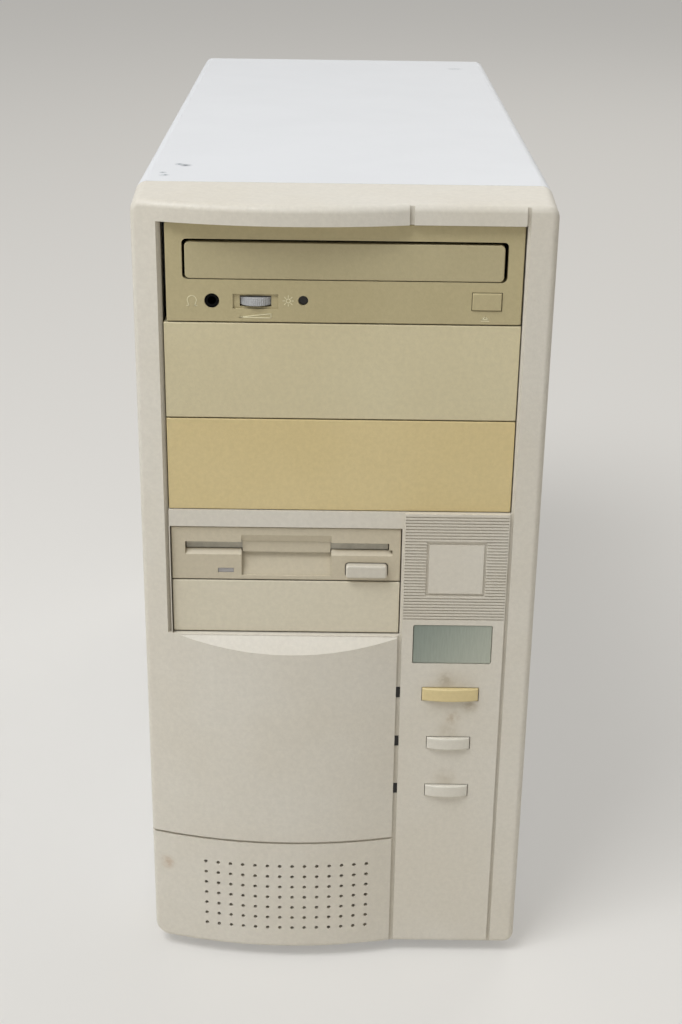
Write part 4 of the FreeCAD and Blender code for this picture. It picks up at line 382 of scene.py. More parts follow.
@dataclass(frozen=True)
class SheetMetal(Finish):
    """Zinc plated or bright sheet: metal with rolling marks along one way, dull in its folds and darkened
    there by painted shade.
    """

    colour: str
    roughness: float = 0.38
    along: Point = (1.0, 14.0, 1.0)

    def build(self, surface: Surface) -> Material:
        """Fine clouds of plating over the rolling lines.

        Args:
            surface: Empty material.

        Returns:
            The finished material.
        """
        plating = Clouds(size=9, start=0.92, end=1.05, detail=4, rough=0.65)
        colour = surface.mottled(linear(self.colour), plating)
        # Painted shade: the folds and gaps of the steel are darkened nearly to black.
        colour = surface.dirt_and_shade_in_gaps(colour, "2B2A28", 8.0, 0.8)
        lines = surface.clouds(Clouds(size=0.9, stretch=self.along))
        sheen = Clouds(0.9, start=self.roughness - 0.08, end=self.roughness + 0.1, stretch=self.along)
        rough = surface.clouds(sheen)
        return surface.finish(colour, rough, lines, 0.015, Metallic=1.0)


@dataclass(frozen=True)
class PlainMoulding(Finish):
    """Small moulded piece in one colour: satin, with a faint grain and dust."""

    colour: str
    roughness: float = 0.45
    coat: float = 0.0
    specular: float = 0.5

    def build(self, surface: Surface) -> Material:
        """Faint clouds and grain.

        Args:
            surface: Empty material.

        Returns:
            The finished material.
        """
        mottling = Clouds(size=6, start=0.86, end=1.1, detail=3, rough=0.6)
        colour = surface.mottled(linear(self.colour), mottling)
        rough = surface.clouds(Clouds(size=4, start=self.roughness - 0.06, end=self.roughness + 0.08))
        grain = surface.clouds(Clouds(size=0.8, low=0.0, high=1.0))
        gloss = {"Coat_Weight": self.coat, "Specular_IOR_Level": self.specular}
        return surface.finish(colour, rough, grain, 0.02, IOR=1.5, **gloss)


@dataclass(frozen=True)
class LabelFilm(Finish):
    """Silvered film under domed clear resin: grey green, paler towards one corner, with a bright surface."""

    dark: str
    pale: str
    middle: Point
    reach: float

    def build(self, surface: Surface) -> Material:
        """Slow change of shade from corner to corner over fine streaks.

        Args:
            surface: Empty material.

        Returns:
            The finished material.
        """
        slope = Vector((1.0, 0.0, -0.8)).normalized()
        offset = {0: surface.place, 1: tuple(c * MM for c in self.middle)}
        away = add_node(surface.tree, "VectorMath", offset, operation="SUBTRACT").outputs[0]
        along = add_node(surface.tree, "VectorMath", {0: away, 1: slope}, operation="DOT_PRODUCT")
        spans = {"From Min": -self.reach * MM, "From Max": self.reach * MM}
        share = add_node(surface.tree, "MapRange", {"Value": along.outputs["Value"], **spans}, **SMOOTH)
        inputs = {0: share.outputs["Result"], 6: linear(self.dark), 7: linear(self.pale)}
        colour = add_node(surface.tree, "Mix", inputs, data_type="RGBA").outputs[2]
        streaks = Clouds(size=0.7, start=0.95, end=1.04, stretch=(1.0, 1.0, 10.0))
        colour = surface.mottled(colour, streaks)
        rough = surface.clouds(Clouds(size=7, start=0.34, end=0.44, detail=3))
        return surface.finish(colour, rough, Metallic=0.25, Coat_Weight=0.6, Coat_Roughness=0.12)


@dataclass(frozen=True)
class LacqueredBoard(Finish):
    """Epoxy glass board under green lacquer: glossy, with the copper tracks showing as lighter lines."""

    colour: str = "14452B"
    track: str = "2F7A4A"

    def build(self, surface: Surface) -> Material:
        """Tracks 1.3 mm apart, in runs that come and go from patch to patch.

        Args:
            surface: Empty material.

        Returns:
            The finished material.
        """
        upright = {"Vector": surface.place, "Rotation": (0.0, math.pi / 2, 0.0)}
        turned = add_node(surface.tree, "Mapping", upright)
        cells = add_node(
            surface.tree,
            "TexBrick",
            {
                "Vector": turned.outputs[0],
                "Scale": 1.0,
                "Mortar Size": 0.3 * MM,
                "Brick Width": 9 * MM,
                "Row Height": 1.3 * MM,
                "Color1": (0, 0, 0, 1),
                "Color2": (0, 0, 0, 1),
                "Mortar": (1, 1, 1, 1),
            },
        )
        patches = surface.clouds(Clouds(size=16, low=0.45, high=0.55))
        both = {0: cells.outputs["Fac"], 1: patches}
        tracks = add_node(surface.tree, "Math", both, operation="MULTIPLY").outputs[0]
        inputs = {0: tracks, 6: linear(self.colour), 7: linear(self.track)}
        colour = add_node(surface.tree, "Mix", inputs, data_type="RGBA").outputs[2]
        return surface.finish(colour, 0.3, tracks, 0.03, IOR=1.5, Coat_Weight=0.4)


@dataclass(frozen=True)
class RibbonCable(Finish):
    """Flat cable of grey PVC conductors 1.27 mm apart, seen as fine ribs along it."""

    colour: str = "A9A9A4"
    gap: str = "8A8A86"
    pitch: float = 1.27

    def build(self, surface: Surface) -> Material:
        """Ribs across the cable.

        Args:
            surface: Empty material.

        Returns:
            The finished material.
        """
        scale = math.tau / 20 / (self.pitch * MM)
        wave = {"Vector": surface.place, "Scale": scale, "Distortion": 0.0}
        ribs = add_node(surface.tree, "TexWave", wave, wave_type="BANDS", bands_direction="Y")
        inputs = {0: ribs.outputs["Fac"], 6: linear(self.gap), 7: linear(self.colour)}
        colour = add_node(surface.tree, "Mix", inputs, data_type="RGBA").outputs[2]
        return surface.finish(colour, 0.45, ribs.outputs["Fac"], 0.2, IOR=1.5)


@dataclass(frozen=True)
class Rubber(Finish):
    """Black moulded rubber, dull with pale dust."""

    colour: str = "1B1B1B"
    dust: str = "6B675F"

    def build(self, surface: Surface) -> Material:
        """Dust in patches.

        Args:
            surface: Empty material.

        Returns:
            The finished material.
        """
        patches = Clouds(size=5, end=0.4, low=0.5, high=0.75, detail=4, rough=0.7)
        colour = surface.patchy(linear(self.colour), self.dust, patches)
        grain = surface.clouds(Clouds(size=1.0, low=0.0, high=1.0))
        return surface.finish(colour, 0.75, grain, 0.05, IOR=1.52)


# Marks of use on the painted cover and the front moulding
SCUFFS = (
    Stain((-70.6, -136.6, 371.0), 3.6, "3F4A55", 1.0, 0.5),
    Stain((-73.6, -134.4, 371.0), 2.8, "5F6C78", 1.0, 0.2),
    Stain((-78.0, -158.6, 371.0), 3.0, "55626D", 1.0, 0.2),
    Stain((-79.0, -153.0, 371.0), 2.2, "5F6C78", 1.0, 0.2),
    Stain((69.0, 178.9, 371.0), 6.0, "9AA2A8", 0.7, 0.2),
)
SMUDGES = (
    Stain((-81.6, -209.5, 49.9), 6.0, "A97A42", 0.9, 0.3),
    Stain((-83.6, -209.0, 51.4), 3.5, "9C6C38", 0.9, 0.3),
    Stain((51.9, -209.0, 146.0), 18.0, "A39270", 0.34, 0.6),
    Stain((49.3, -209.0, 152.3), 6.0, "8C7850", 0.42, 0.3),
    Stain((60.9, -209.0, 139.4), 6.0, "8C7850", 0.42, 0.3),
    Stain((53.0, -209.0, 132.6), 5.0, "A07F50", 0.4, 0.1),
    Stain((51.0, -209.0, 125.6), 8.0, "A39270", 0.3, 0.4),
    Stain((51.0, -209.0, 100.0), 8.0, "A39270", 0.28, 0.4),
)

ENAMEL = StovedEnamel("stoved_enamel_cool_white", "E2E4E7", "DFE1E4", stains=SCUFFS)
FRONT_ABS = MouldedAbs("abs_front_pale", "E0DCD2", "D4CBB8", dirt_share=0.18, stains=SMUDGES)
DISC_ABS = MouldedAbs("abs_disc_drive_yellowed", "C3B78F", "B0A37A", roughness=0.5)
TRAY_ABS = MouldedAbs("abs_disc_tray_yellowed", "C1B691", "AFA37C", roughness=0.5)
COVER_UPPER_ABS = MouldedAbs("abs_upper_cover_yellowed", "DAD0AD", "CDC09A")
COVER_LOWER_ABS = MouldedAbs("abs_lower_cover_yellow", "DFCD9C", "D2BD83")
COVER_SMALL_ABS = MouldedAbs("abs_small_cover", "DFD8C3", "D4CAB2")
DISKETTE_ABS = MouldedAbs("abs_diskette_drive", "CFC5AE", "C2B79E")
# Greyer than the tab, as painted shade on the shutter's sides in the slot.
SHUTTER_SHADED = PlainMoulding("abs_diskette_shutter_shaded_grey", "B7B3A6", 0.5)
EJECT_ABS = MouldedAbs("abs_diskette_button_pale", "D8D3C6", "CEC7B7")
# Brown dirt and painted shade in the gap around the power button.
POWER_ABS = MouldedAbs("abs_power_button_yellow", "E2D0A0", "D6C287", dirt="8A7244")
BUTTON_ABS = MouldedAbs("abs_button_pale", "E2DED3", "D8D2C3")
LABEL_FILM = LabelFilm("film_label_grey_green", "838E84", "B2B7A9", (51.5, -209.0, 170.6), 24.0)
SIGN_ABS = PlainMoulding("ink_sign_pale", "E9E2BE", 0.5)
LAMP = PlainMoulding("acrylic_light_guide_dark", "1E1B18", 0.35, coat=0.3, specular=0.3)
LAMP_PALE = PlainMoulding("acrylic_lens_grey_violet", "A3A0A0", 0.4)
WHEEL = PlainMoulding("nylon_wheel_grey", "B4B5B6", 0.5)
ZINC = SheetMetal("zinc_plated_sheet", "B4B7B9")
NICKEL = SheetMetal("nickel_plated_steel", "C4C3BF", 0.24)
ALUMINIUM = SheetMetal("extruded_aluminium", "C3C5C8", 0.35, (1.0, 1.0, 14.0))
BLACK = PlainMoulding("nylon_black", "121212", 0.42, specular=0.4)
# Black of the headphone jack, and painted shade as discs in the ports' holes.
BLACK_AND_HOLE_SHADE = PlainMoulding("nylon_black_and_hole_shade", "050505", 0.7, specular=0.1)
GREY = PlainMoulding("abs_dark_grey", "3A3A3B", 0.5)
PAPER = PlainMoulding("pulp_cone_black", "1F1D1B", 0.8, specular=0.2)
WHITE = PlainMoulding("nylon_white", "D8D6CC", 0.45)
RED = PlainMoulding("acetal_red", "A3170F", 0.3, coat=0.3)
BOARD = LacqueredBoard("epoxy_board_green")
CHIP = PlainMoulding("resin_black", "191919", 0.38)
RIBBON = RibbonCable("pvc_ribbon_grey")
WIRE_YELLOW = PlainMoulding("pvc_wire_yellow", "C9A227", 0.4)
WIRE_RED = PlainMoulding("pvc_wire_red", "A5211A", 0.4)
WIRE_GREY = PlainMoulding("pvc_sleeve_grey", "4A4A4C", 0.5)
RUBBER = Rubber("rubber_black")


def joined_copy(node: bpy.types.Object) -> Shape:
    """Copy a node's mesh with its corners joined and its flat faces whole.

    Args:
        node: Node that is copied.

    Returns:
        The copy, still open for work.
    """
    work = bmesh.new()
    work.from_mesh(node.data)
    bmesh.ops.remove_doubles(work, verts=work.verts, dist=0.002 * MM)
    bmesh.ops.dissolve_limit(
        work,
        angle_limit=math.radians(0.05),
        verts=work.verts,
        edges=work.edges,
        use_dissolve_boundaries=False,
    )
    return work


def closed(work: Shape, name: str) -> bpy.types.Mesh:
    """Scale a worked shape to metres, turn it outwards and close it as a mesh.

    Args:
        work: Shape in millimetres, which is freed.
        name: Name of the mesh.

    Returns:
        The mesh.
    """
    bmesh.ops.scale(work, vec=(MM, MM, MM), verts=work.verts)
    bmesh.ops.recalc_face_normals(work, faces=work.faces)
    mesh = bpy.data.meshes.new(name)
    work.to_mesh(mesh)
    work.free()
    return mesh


def bar(work: Shape, start: Flat, end: Flat, width: float, front: float, depth: float) -> None:
    """Lay a straight raised stroke on a plane that faces the front.

    Args:
        work: Shape that gets the stroke.
        start: Its first end, across and up.
        end: Its other end.
        width: Its width.
        front: Place of its outer face along Y.
        depth: Its height over the plane.
    """
    run = Vector((end[0] - start[0], 0.0, end[1] - start[1]))
    middle = Vector(((start[0] + end[0]) / 2, front + depth / 2, (start[1] + end[1]) / 2))
    turn = Matrix.Rotation(-math.atan2(run.z, run.x), 4, "Y")
    size = Matrix.Diagonal((run.length + width, depth, width, 1.0))
    bmesh.ops.create_cube(work, size=1.0, matrix=Matrix.Translation(middle) @ turn @ size)


def arc(
    work: Shape,
    centre: Flat,
    radius: float,
    turns: Flat,
    width: float,
    front: float,
    depth: float,
) -> None:
    """Sweep a curved raised stroke on a plane that faces the front.

    Args:
        work: Shape that gets the stroke.
        centre: Middle of the curve, across and up.
        radius: Its radius.
        turns: First and last angle in degrees, anticlockwise from the right.
        width: Its width.
        front: Place of its outer face along Y.
        depth: Its height over the plane.
    """
    middle = Vector((centre[0], front + depth / 2, centre[1]))
    first, last = (math.radians(angle) for angle in turns)
    place = (
        Matrix.Translation(middle)
        @ Matrix.Rotation(-first, 4, "Y")
        @ Matrix.Translation((radius, 0.0, 0.0))
        @ Matrix.Diagonal((width, depth, 1.0, 1.0))
    )
    profile = bmesh.ops.create_grid(work, x_segments=1, y_segments=1, size=0.5, matrix=place)["verts"]
    faces = list({face for vert in profile for face in vert.link_faces})
    edges = list({edge for vert in profile for edge in vert.link_edges})
    round_trip = abs(last - first) > math.tau - 0.01
    bmesh.ops.spin(
        work,
        geom=edges if round_trip else faces + edges + profile,
        cent=middle,
        axis=(0.0, -1.0, 0.0),
        angle=last - first,
        steps=max(6, round(math.degrees(last - first) / 15)),
        use_merge=round_trip,
        use_duplicate=False,
    )
    if round_trip:
        bmesh.ops.delete(work, geom=[face for face in faces if face.is_valid], context="FACES_ONLY")


def pan_head(work: Shape, place: Matrix, radius: float, height: float) -> None:
    """Make a domed screw head with a cross sunk below its top.

    The faces that the cross is cut from stay in place, so they lie over it like a lid.

    Args:
        work: Shape that gets the head.
        place: Where its seat goes, with the head towards local Z.
        radius: Its radius.
        height: Its height.
    """
    head = bmesh.new()
    sizes = {"radius1": radius, "radius2": radius, "depth": height}
    middle = Matrix.Translation((0.0, 0.0, height / 2))
    bmesh.ops.create_cone(head, cap_ends=True, segments=24, matrix=middle, **sizes)
    rim = [edge for edge in head.edges if all(vert.co.z > height * 0.9 for vert in edge.verts)]
    rounding = {"segments": 3, "profile": 0.5, "affect": "EDGES", "material": -1}
    bmesh.ops.bevel(head, geom=rim, offset=height * DOME, **rounding)
    reach, half = radius * CROSS_REACH, radius * CROSS_HALF
    for axis in (Vector((1.0, 0.0, 0.0)), Vector((0.0, 1.0, 0.0))):
        for step in (-reach, -half, half, reach):
            top = [face for face in head.faces if face.calc_center_median().z > height - TINY]
            edges = {edge for face in top for edge in face.edges}
            verts = {vert for face in top for vert in face.verts}
            geom = top + list(edges) + list(verts)
            bmesh.ops.bisect_plane(head, geom=geom, dist=1e-8, plane_co=axis * step, plane_no=axis)
    cross = []
    for face in head.faces:
        middle = face.calc_center_median()
        near, far = sorted((abs(middle.x), abs(middle.y)))
        if near < half and far < reach and middle.z > height - TINY:
            cross.append(face)
    sunk = bmesh.ops.extrude_face_region(head, geom=cross)["geom"]
    floor = [item for item in sunk if isinstance(item, bmesh.types.BMVert)]
    bmesh.ops.translate(head, verts=floor, vec=(0.0, 0.0, -height * CROSS_DEPTH))
    bmesh.ops.transform(head, matrix=place, verts=head.verts)
    shape = bpy.data.meshes.new("pan_head")
    head.to_mesh(shape)
    head.free()
    work.from_mesh(shape)
    bpy.data.meshes.remove(shape)


class Machine:
    """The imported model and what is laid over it."""

    def __init__(self) -> None:
        """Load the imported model."""
        self.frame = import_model()
        self.nodes: dict[str, bpy.types.Object] = self.frame["nodes"]
        bodies = self.frame["record"]["behaviour"]["bodies"]
        self.body_of = {node: body for body, members in bodies.items() for node in members}
        self.slot_of = {row["node"]: row["material_slot"] for row in self.frame["record"]["subparts"]}

    def dress(self, finish: Finish, *names: str) -> None:
        """Give nodes a finish where they stand.

        Args:
            finish: Finish that they get.
            *names: Names of the nodes.
        """
        for node in names:
            mesh = self.nodes[node].data
            mesh.materials.clear()
            mesh.materials.append(finish.material())
            LOG.info("%s wears %s", node, finish.name)

    def add(
        self,
        name: str,
        mesh: bpy.types.Mesh,
        finish: Finish,
        like: str,
        instead: bool = False,
        rounding: float = 0.0,
        limit: float = SHARP,
    ) -> bpy.types.Object:
        """Add a new piece that rides with a node.

        Args:
            name: Name of the piece.
            mesh: Its mesh, in the row frame.
            finish: Its finish.
            like: Node whose body it rides on.
            instead: Whether it stands for that node.
            rounding: Width of the rounding of its edges, in millimetres.
            limit: Angle from which an edge is rounded.

        Returns:
            The new object.
        """
        if not mesh.materials:
            mesh.materials.append(finish.material())
        piece = bpy.data.objects.new(name, mesh)
        bpy.context.scene.collection.objects.link(piece)
        mesh.shade_smooth()
        mesh.set_sharp_from_angle(angle=SHARP)
        if rounding:
            soft = piece.modifiers.new("Rounding", "BEVEL")
            soft.width = rounding * MM
            soft.segments = 2
            soft.limit_method = "ANGLE"
            soft.angle_limit = limit
            soft.harden_normals = True
        even = piece.modifiers.new("Even shading", "WEIGHTED_NORMAL")
        even.keep_sharp = True
        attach(piece, self.body_of[like])
        if instead:
            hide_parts(like)
        LOG.info("%s rides on %s", name, self.body_of[like])
        return piece

    def stand_in(
        self,
        node: str,
        finish: Finish,
        rounding: float = 0.0,
        painted: Iterable[tuple[Finish, Test]] = (),
    ) -> bpy.types.Object:
        """Stand a joined copy in a node's place, with rounded edges and its own finish in each region.

        Args:
            node: Name of the node.
            finish: Finish of the copy.
            rounding: Width of the rounding, in millimetres.
            painted: Other finishes, each with the test of a face's middle in millimetres that it goes by.

        Returns:
            The copy.
        """
        work = joined_copy(self.nodes[node])
        rows = list(painted)
        for face in work.faces:
            middle = face.calc_center_median() / MM
            face.material_index = next((i + 1 for i, row in enumerate(rows) if row[1](middle)), 0)
        mesh = bpy.data.meshes.new(node + "_made")
        work.to_mesh(mesh)
        work.free()
        for chosen in (finish, *(row[0] for row in rows)):
            mesh.materials.append(chosen.material())
        return self.add(node + "_made", mesh, finish, node, instead=True, rounding=rounding)


def within(low: Point, high: Point) -> Test:
    """Make the test for a place inside a box, in millimetres.

    Args:
        low: Lowest corner.
        high: Highest corner.

    Returns:
        Test of a place.
    """
    return lambda place: all(a <= b <= c for a, b, c in zip(low, place, high))


@dataclass
class Casing:
    """What is seen of the case: cover, front moulding, blank covers, label and buttons."""

    cover_edge: float = 0.4
    moulding_edge: float = 0.3
    label_edge: float = 0.45
    button_edge: float = 0.4

    def build(self, machine: Machine) -> None:
        """Stand each piece in with softened edges.

        Args:
            machine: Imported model.
        """
        for node, finish, edge in (
            ("top_cover", ENAMEL, self.cover_edge),
            ("front_bezel", FRONT_ABS, self.moulding_edge),
            ("bay_cover_upper", COVER_UPPER_ABS, self.moulding_edge),
            ("bay_cover_lower", COVER_LOWER_ABS, self.moulding_edge),
            ("bay_cover_small", COVER_SMALL_ABS, self.moulding_edge),
            ("label_plate", LABEL_FILM, self.label_edge),
            ("power_button", POWER_ABS, self.button_edge),
            ("turbo_button", BUTTON_ABS, self.button_edge),
            ("reset_button", BUTTON_ABS, self.button_edge),
        ):
            machine.stand_in(node, finish, edge)
        machine.dress(LAMP, "indicator_lamps")


@dataclass
class DiscDrive:
    """Compact disc drive: yellowed front and tray, knurled wheel and moulded signs."""

    face: float = -206.55
    stroke: float = 0.34
    proud: float = 0.12
    edge: float = 0.25
    wheel_centre: Point = (-36.45, -199.95, 326.95)
    wheel_radius: float = 8.0
    wheel_bore: float = 1.56
    wheel_thickness: float = 3.4
    teeth: int = 60
    tooth_depth: float = 0.35
    wheel_edge: float = 0.12
    wheel_limit: float = math.radians(60)
    sound: Flat = (-62.9, 328.7)
    sound_radius: float = 1.9
    sound_rise: float = 0.3
    sound_turns: Flat = (-40, 220)
    sound_side: tuple[Flat, Flat, Flat] = ((1.558, -1.1), (1.208, -2.1), (2.058, -2.1))
    sun: Flat = (-22.8, 329.1)
    sun_radius: float = 0.85
    rays: int = 8
    ray_reach: Flat = (1.4875, 2.21)
    wedge: tuple[Flat, Flat, Flat] = ((-43.2, 321.9), (-30.0, 321.7), (-30.0, 323.5))
    opener: Flat = (59.3, 322.2)
    opener_strokes: tuple[tuple[Flat, Flat], ...] = (
        ((-1.6, -0.7), (1.6, -0.7)),
        ((-1.28, 0.0), (0.0, 1.1)),
        ((1.28, 0.0), (0.0, 1.1)),
        ((-1.28, 0.0), (1.28, 0.0)),
    )

    def build(self, machine: Machine) -> None:
        """Dress the drive and lay its signs.

        Args:
            machine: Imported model.
        """
        machine.stand_in("cdrom_bezel", DISC_ABS, self.edge)
        machine.stand_in("cdrom_tray_front", TRAY_ABS, self.edge)
        machine.stand_in("cdrom_eject_button", DISC_ABS, self.edge)
        machine.dress(ZINC, "cdrom_case")
        machine.dress(BLACK, "cdrom_tray", "cdrom_loader")
        machine.dress(BOARD, "cdrom_front_board")
        machine.dress(BLACK_AND_HOLE_SHADE, "headphone_jack")
        machine.dress(LAMP, "cdrom_lamp")
        self.wheel(machine)
        self.signs(machine)

    def wheel(self, machine: Machine) -> None:
        """Cut the volume wheel's teeth and stand it in.

        Args:
            machine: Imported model.
        """
        work = bmesh.new()
        rim = bmesh.ops.create_circle(work, segments=2 * self.teeth, radius=self.wheel_radius)["verts"]
        inward = 1 - self.tooth_depth / self.wheel_radius
        bmesh.ops.scale(work, vec=(inward, inward, 1.0), verts=rim[1::2])
        bmesh.ops.create_circle(work, segments=24, radius=self.wheel_bore)
        bmesh.ops.bridge_loops(work, edges=work.edges)
        raised = bmesh.ops.extrude_face_region(work, geom=work.faces[:])["geom"]
        upper = [item for item in raised if isinstance(item, bmesh.types.BMVert)]
        bmesh.ops.translate(work, verts=upper, vec=(0.0, 0.0, self.wheel_thickness))
        bmesh.ops.translate(work, verts=work.verts, vec=self.wheel_centre)
        name = "volume_wheel_knurled"
        mesh = closed(work, name)
        machine.add(name, mesh, WHEEL, "volume_wheel", True, self.wheel_edge, self.wheel_limit)

    def signs(self, machine: Machine) -> None:
        """Lay the thin raised signs of sound, light, loudness and opening.

        Args:
            machine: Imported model.
        """
        work = bmesh.new()
        lie = {"width": self.stroke, "front": self.face - self.proud, "depth": self.proud * 2}
        across, up = self.sound
        arc(work, (across, up + self.sound_rise), self.sound_radius, self.sound_turns, **lie)
        for side in (-1, 1):
            shape = [(across + side * x, up + z) for x, z in self.sound_side]
            bar(work, shape[0], shape[1], **lie)
            bar(work, shape[1], shape[2], **lie)
        arc(work, self.sun, self.sun_radius, (0, 360), **lie)
        for index in range(self.rays):
            angle = math.tau * index / self.rays
            way, (across, up) = (math.cos(angle), math.sin(angle)), self.sun
            ends = [(across + reach * way[0], up + reach * way[1]) for reach in self.ray_reach]
            bar(work, ends[0], ends[1], **lie)
        for index, corner in enumerate(self.wedge):
            bar(work, self.wedge[index - 1], corner, **lie)
        across, up = self.opener
        for start, end in self.opener_strokes:
            bar(work, (across + start[0], up + start[1]), (across + end[0], up + end[1]), **lie)
        machine.add("cdrom_signs", closed(work, "cdrom_signs"), SIGN_ABS, "cdrom_bezel")


@dataclass
class DisketteDrive:
    """Diskette drive: front with its finger recess, shutter painted a shaded grey behind a pale tab, button
    and lamp.
    """

    edge: float = 0.35
    flap_edge: float = 0.15
    tab: Flat = (-43.2, -4.0)
    tab_back: float = -203.9

    def build(self, machine: Machine) -> None:
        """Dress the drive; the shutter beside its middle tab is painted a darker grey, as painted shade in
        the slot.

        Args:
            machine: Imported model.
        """
        machine.stand_in("floppy_bezel", DISKETTE_ABS, self.edge)
        machine.stand_in("floppy_flap", SHUTTER_SHADED, self.flap_edge, [(DISKETTE_ABS, self.on_tab)])
        machine.stand_in("floppy_eject_button", EJECT_ABS, self.edge)
        machine.dress(ZINC, "floppy_case")
        machine.dress(LAMP_PALE, "floppy_lamp")

    def on_tab(self, place: Vector) -> bool:
        """Whether a place is on the middle tab, which stands before the shutter."""
        return self.tab[0] <= place.x <= self.tab[1] and place.y < self.tab_back


@dataclass
class Chassis:
    """Steel parts, cages, feet, speaker, hard disk and screws."""

    head_radius: float = 3.6
    head_height: float = 2.0
    back_seat: float = 212.95
    guard_seat: float = 211.95
    tab_seat: float = -44.9
    tab_y: float = 203.85
    shank_radius: float = 1.7
    cover_shank: float = 2.3
    tab_shank: float = 2.9
    cone_back: float = -170.2
    cover_screws: tuple[Flat, ...] = (
        (-84.5, 36.0), (-84.5, 221.0), (84.5, 36.0), (84.5, 221.0), (-50.0, 366.5), (50.0, 366.5),
    )
    guard_screws: tuple[Flat, ...] = ((-5.75, 284.95), (-5.75, 356.45), (65.75, 284.95), (65.75, 356.45))
    slots: int = 7
    first_slot: float = 36.0
    slot_pitch: float = 20.32
    zinc: tuple[str, ...] = (
        "base_pan", "front_frame", "rear_panel", "motherboard_tray", "drive_cage_wide", "drive_cage_small",
        "slot_covers",
    )

    def build(self, machine: Machine) -> None:
        """Dress the steel and what is fixed to it.

        Args:
            machine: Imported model.
        """
        machine.dress(ZINC, *self.zinc)
        machine.dress(RUBBER, "feet")
        machine.stand_in("speaker", GREY, 0.0, [(PAPER, self.on_cone)])
        machine.dress(ALUMINIUM, "hard_disk")
        self.screws(machine)

    def on_cone(self, place: Vector) -> bool:
        """Whether a place is on the speaker's front, where the paper cone is."""
        return place.y < self.cone_back

    def screws(self, machine: Machine) -> None:
        """Make the domed heads over short shanks.

        Args:
            machine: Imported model.
        """
        work = bmesh.new()
        back, left = Facing.BACK.turn(), Facing.LEFT.turn()
        seats = [((x, self.back_seat, z), back, self.cover_shank) for x, z in self.cover_screws]
        seats += [((x, self.guard_seat, z), back, 0.0) for x, z in self.guard_screws]
        for index in range(self.slots):
            up = self.first_slot + index * self.slot_pitch
            seats.append(((self.tab_seat, self.tab_y, up), left, self.tab_shank))
        for seat, turn, shank in seats:
            place = Matrix.Translation(seat) @ turn
            pan_head(work, place, self.head_radius, self.head_height)
            if shank:
                below = place @ Matrix.Translation((0.0, 0.0, -shank / 2))
                sizes = {"radius1": self.shank_radius, "radius2": self.shank_radius, "depth": shank}
                bmesh.ops.create_cone(work, cap_ends=True, segments=16, matrix=below, **sizes)
        name = "case_screws_cross"
        machine.add(name, closed(work, name), NICKEL, "case_screws", True)


@dataclass
class PowerSupply:
    """Power supply with its fan, finger guard, inlet, outlet and voltage slider."""

    pin_half: Flat = (1.1, 2.1)
    pins: tuple[Flat, ...] = ((-52.0, 333.2), (-38.0, 333.2), (-45.0, 337.2))
    pin_back: float = 196.0
    pin_tip: float = 206.5
    edge: float = 0.2

    def build(self, machine: Machine) -> None:
        """Dress the supply; the inlet's pins are bright.

        Args:
            machine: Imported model.
        """
        machine.dress(ZINC, "psu_case")
        machine.dress(BLACK, "psu_fan_frame", "psu_fan_rotor")
        machine.dress(NICKEL, "psu_fan_guard")
        machine.stand_in("mains_inlet", BLACK, self.edge, [(NICKEL, self.on_pin)])
        machine.stand_in("monitor_outlet", BLACK, self.edge)
        machine.stand_in("voltage_slider", RED, self.edge)

    def on_pin(self, place: Vector) -> bool:
        """Whether a place is on one of the inlet's pins."""
        away = ((abs(place.x - x), abs(place.z - z)) for x, z in self.pins)
        return self.pin_back < place.y < self.pin_tip and any(
            x < self.pin_half[0] and z < self.pin_half[1] for x, z in away
        )


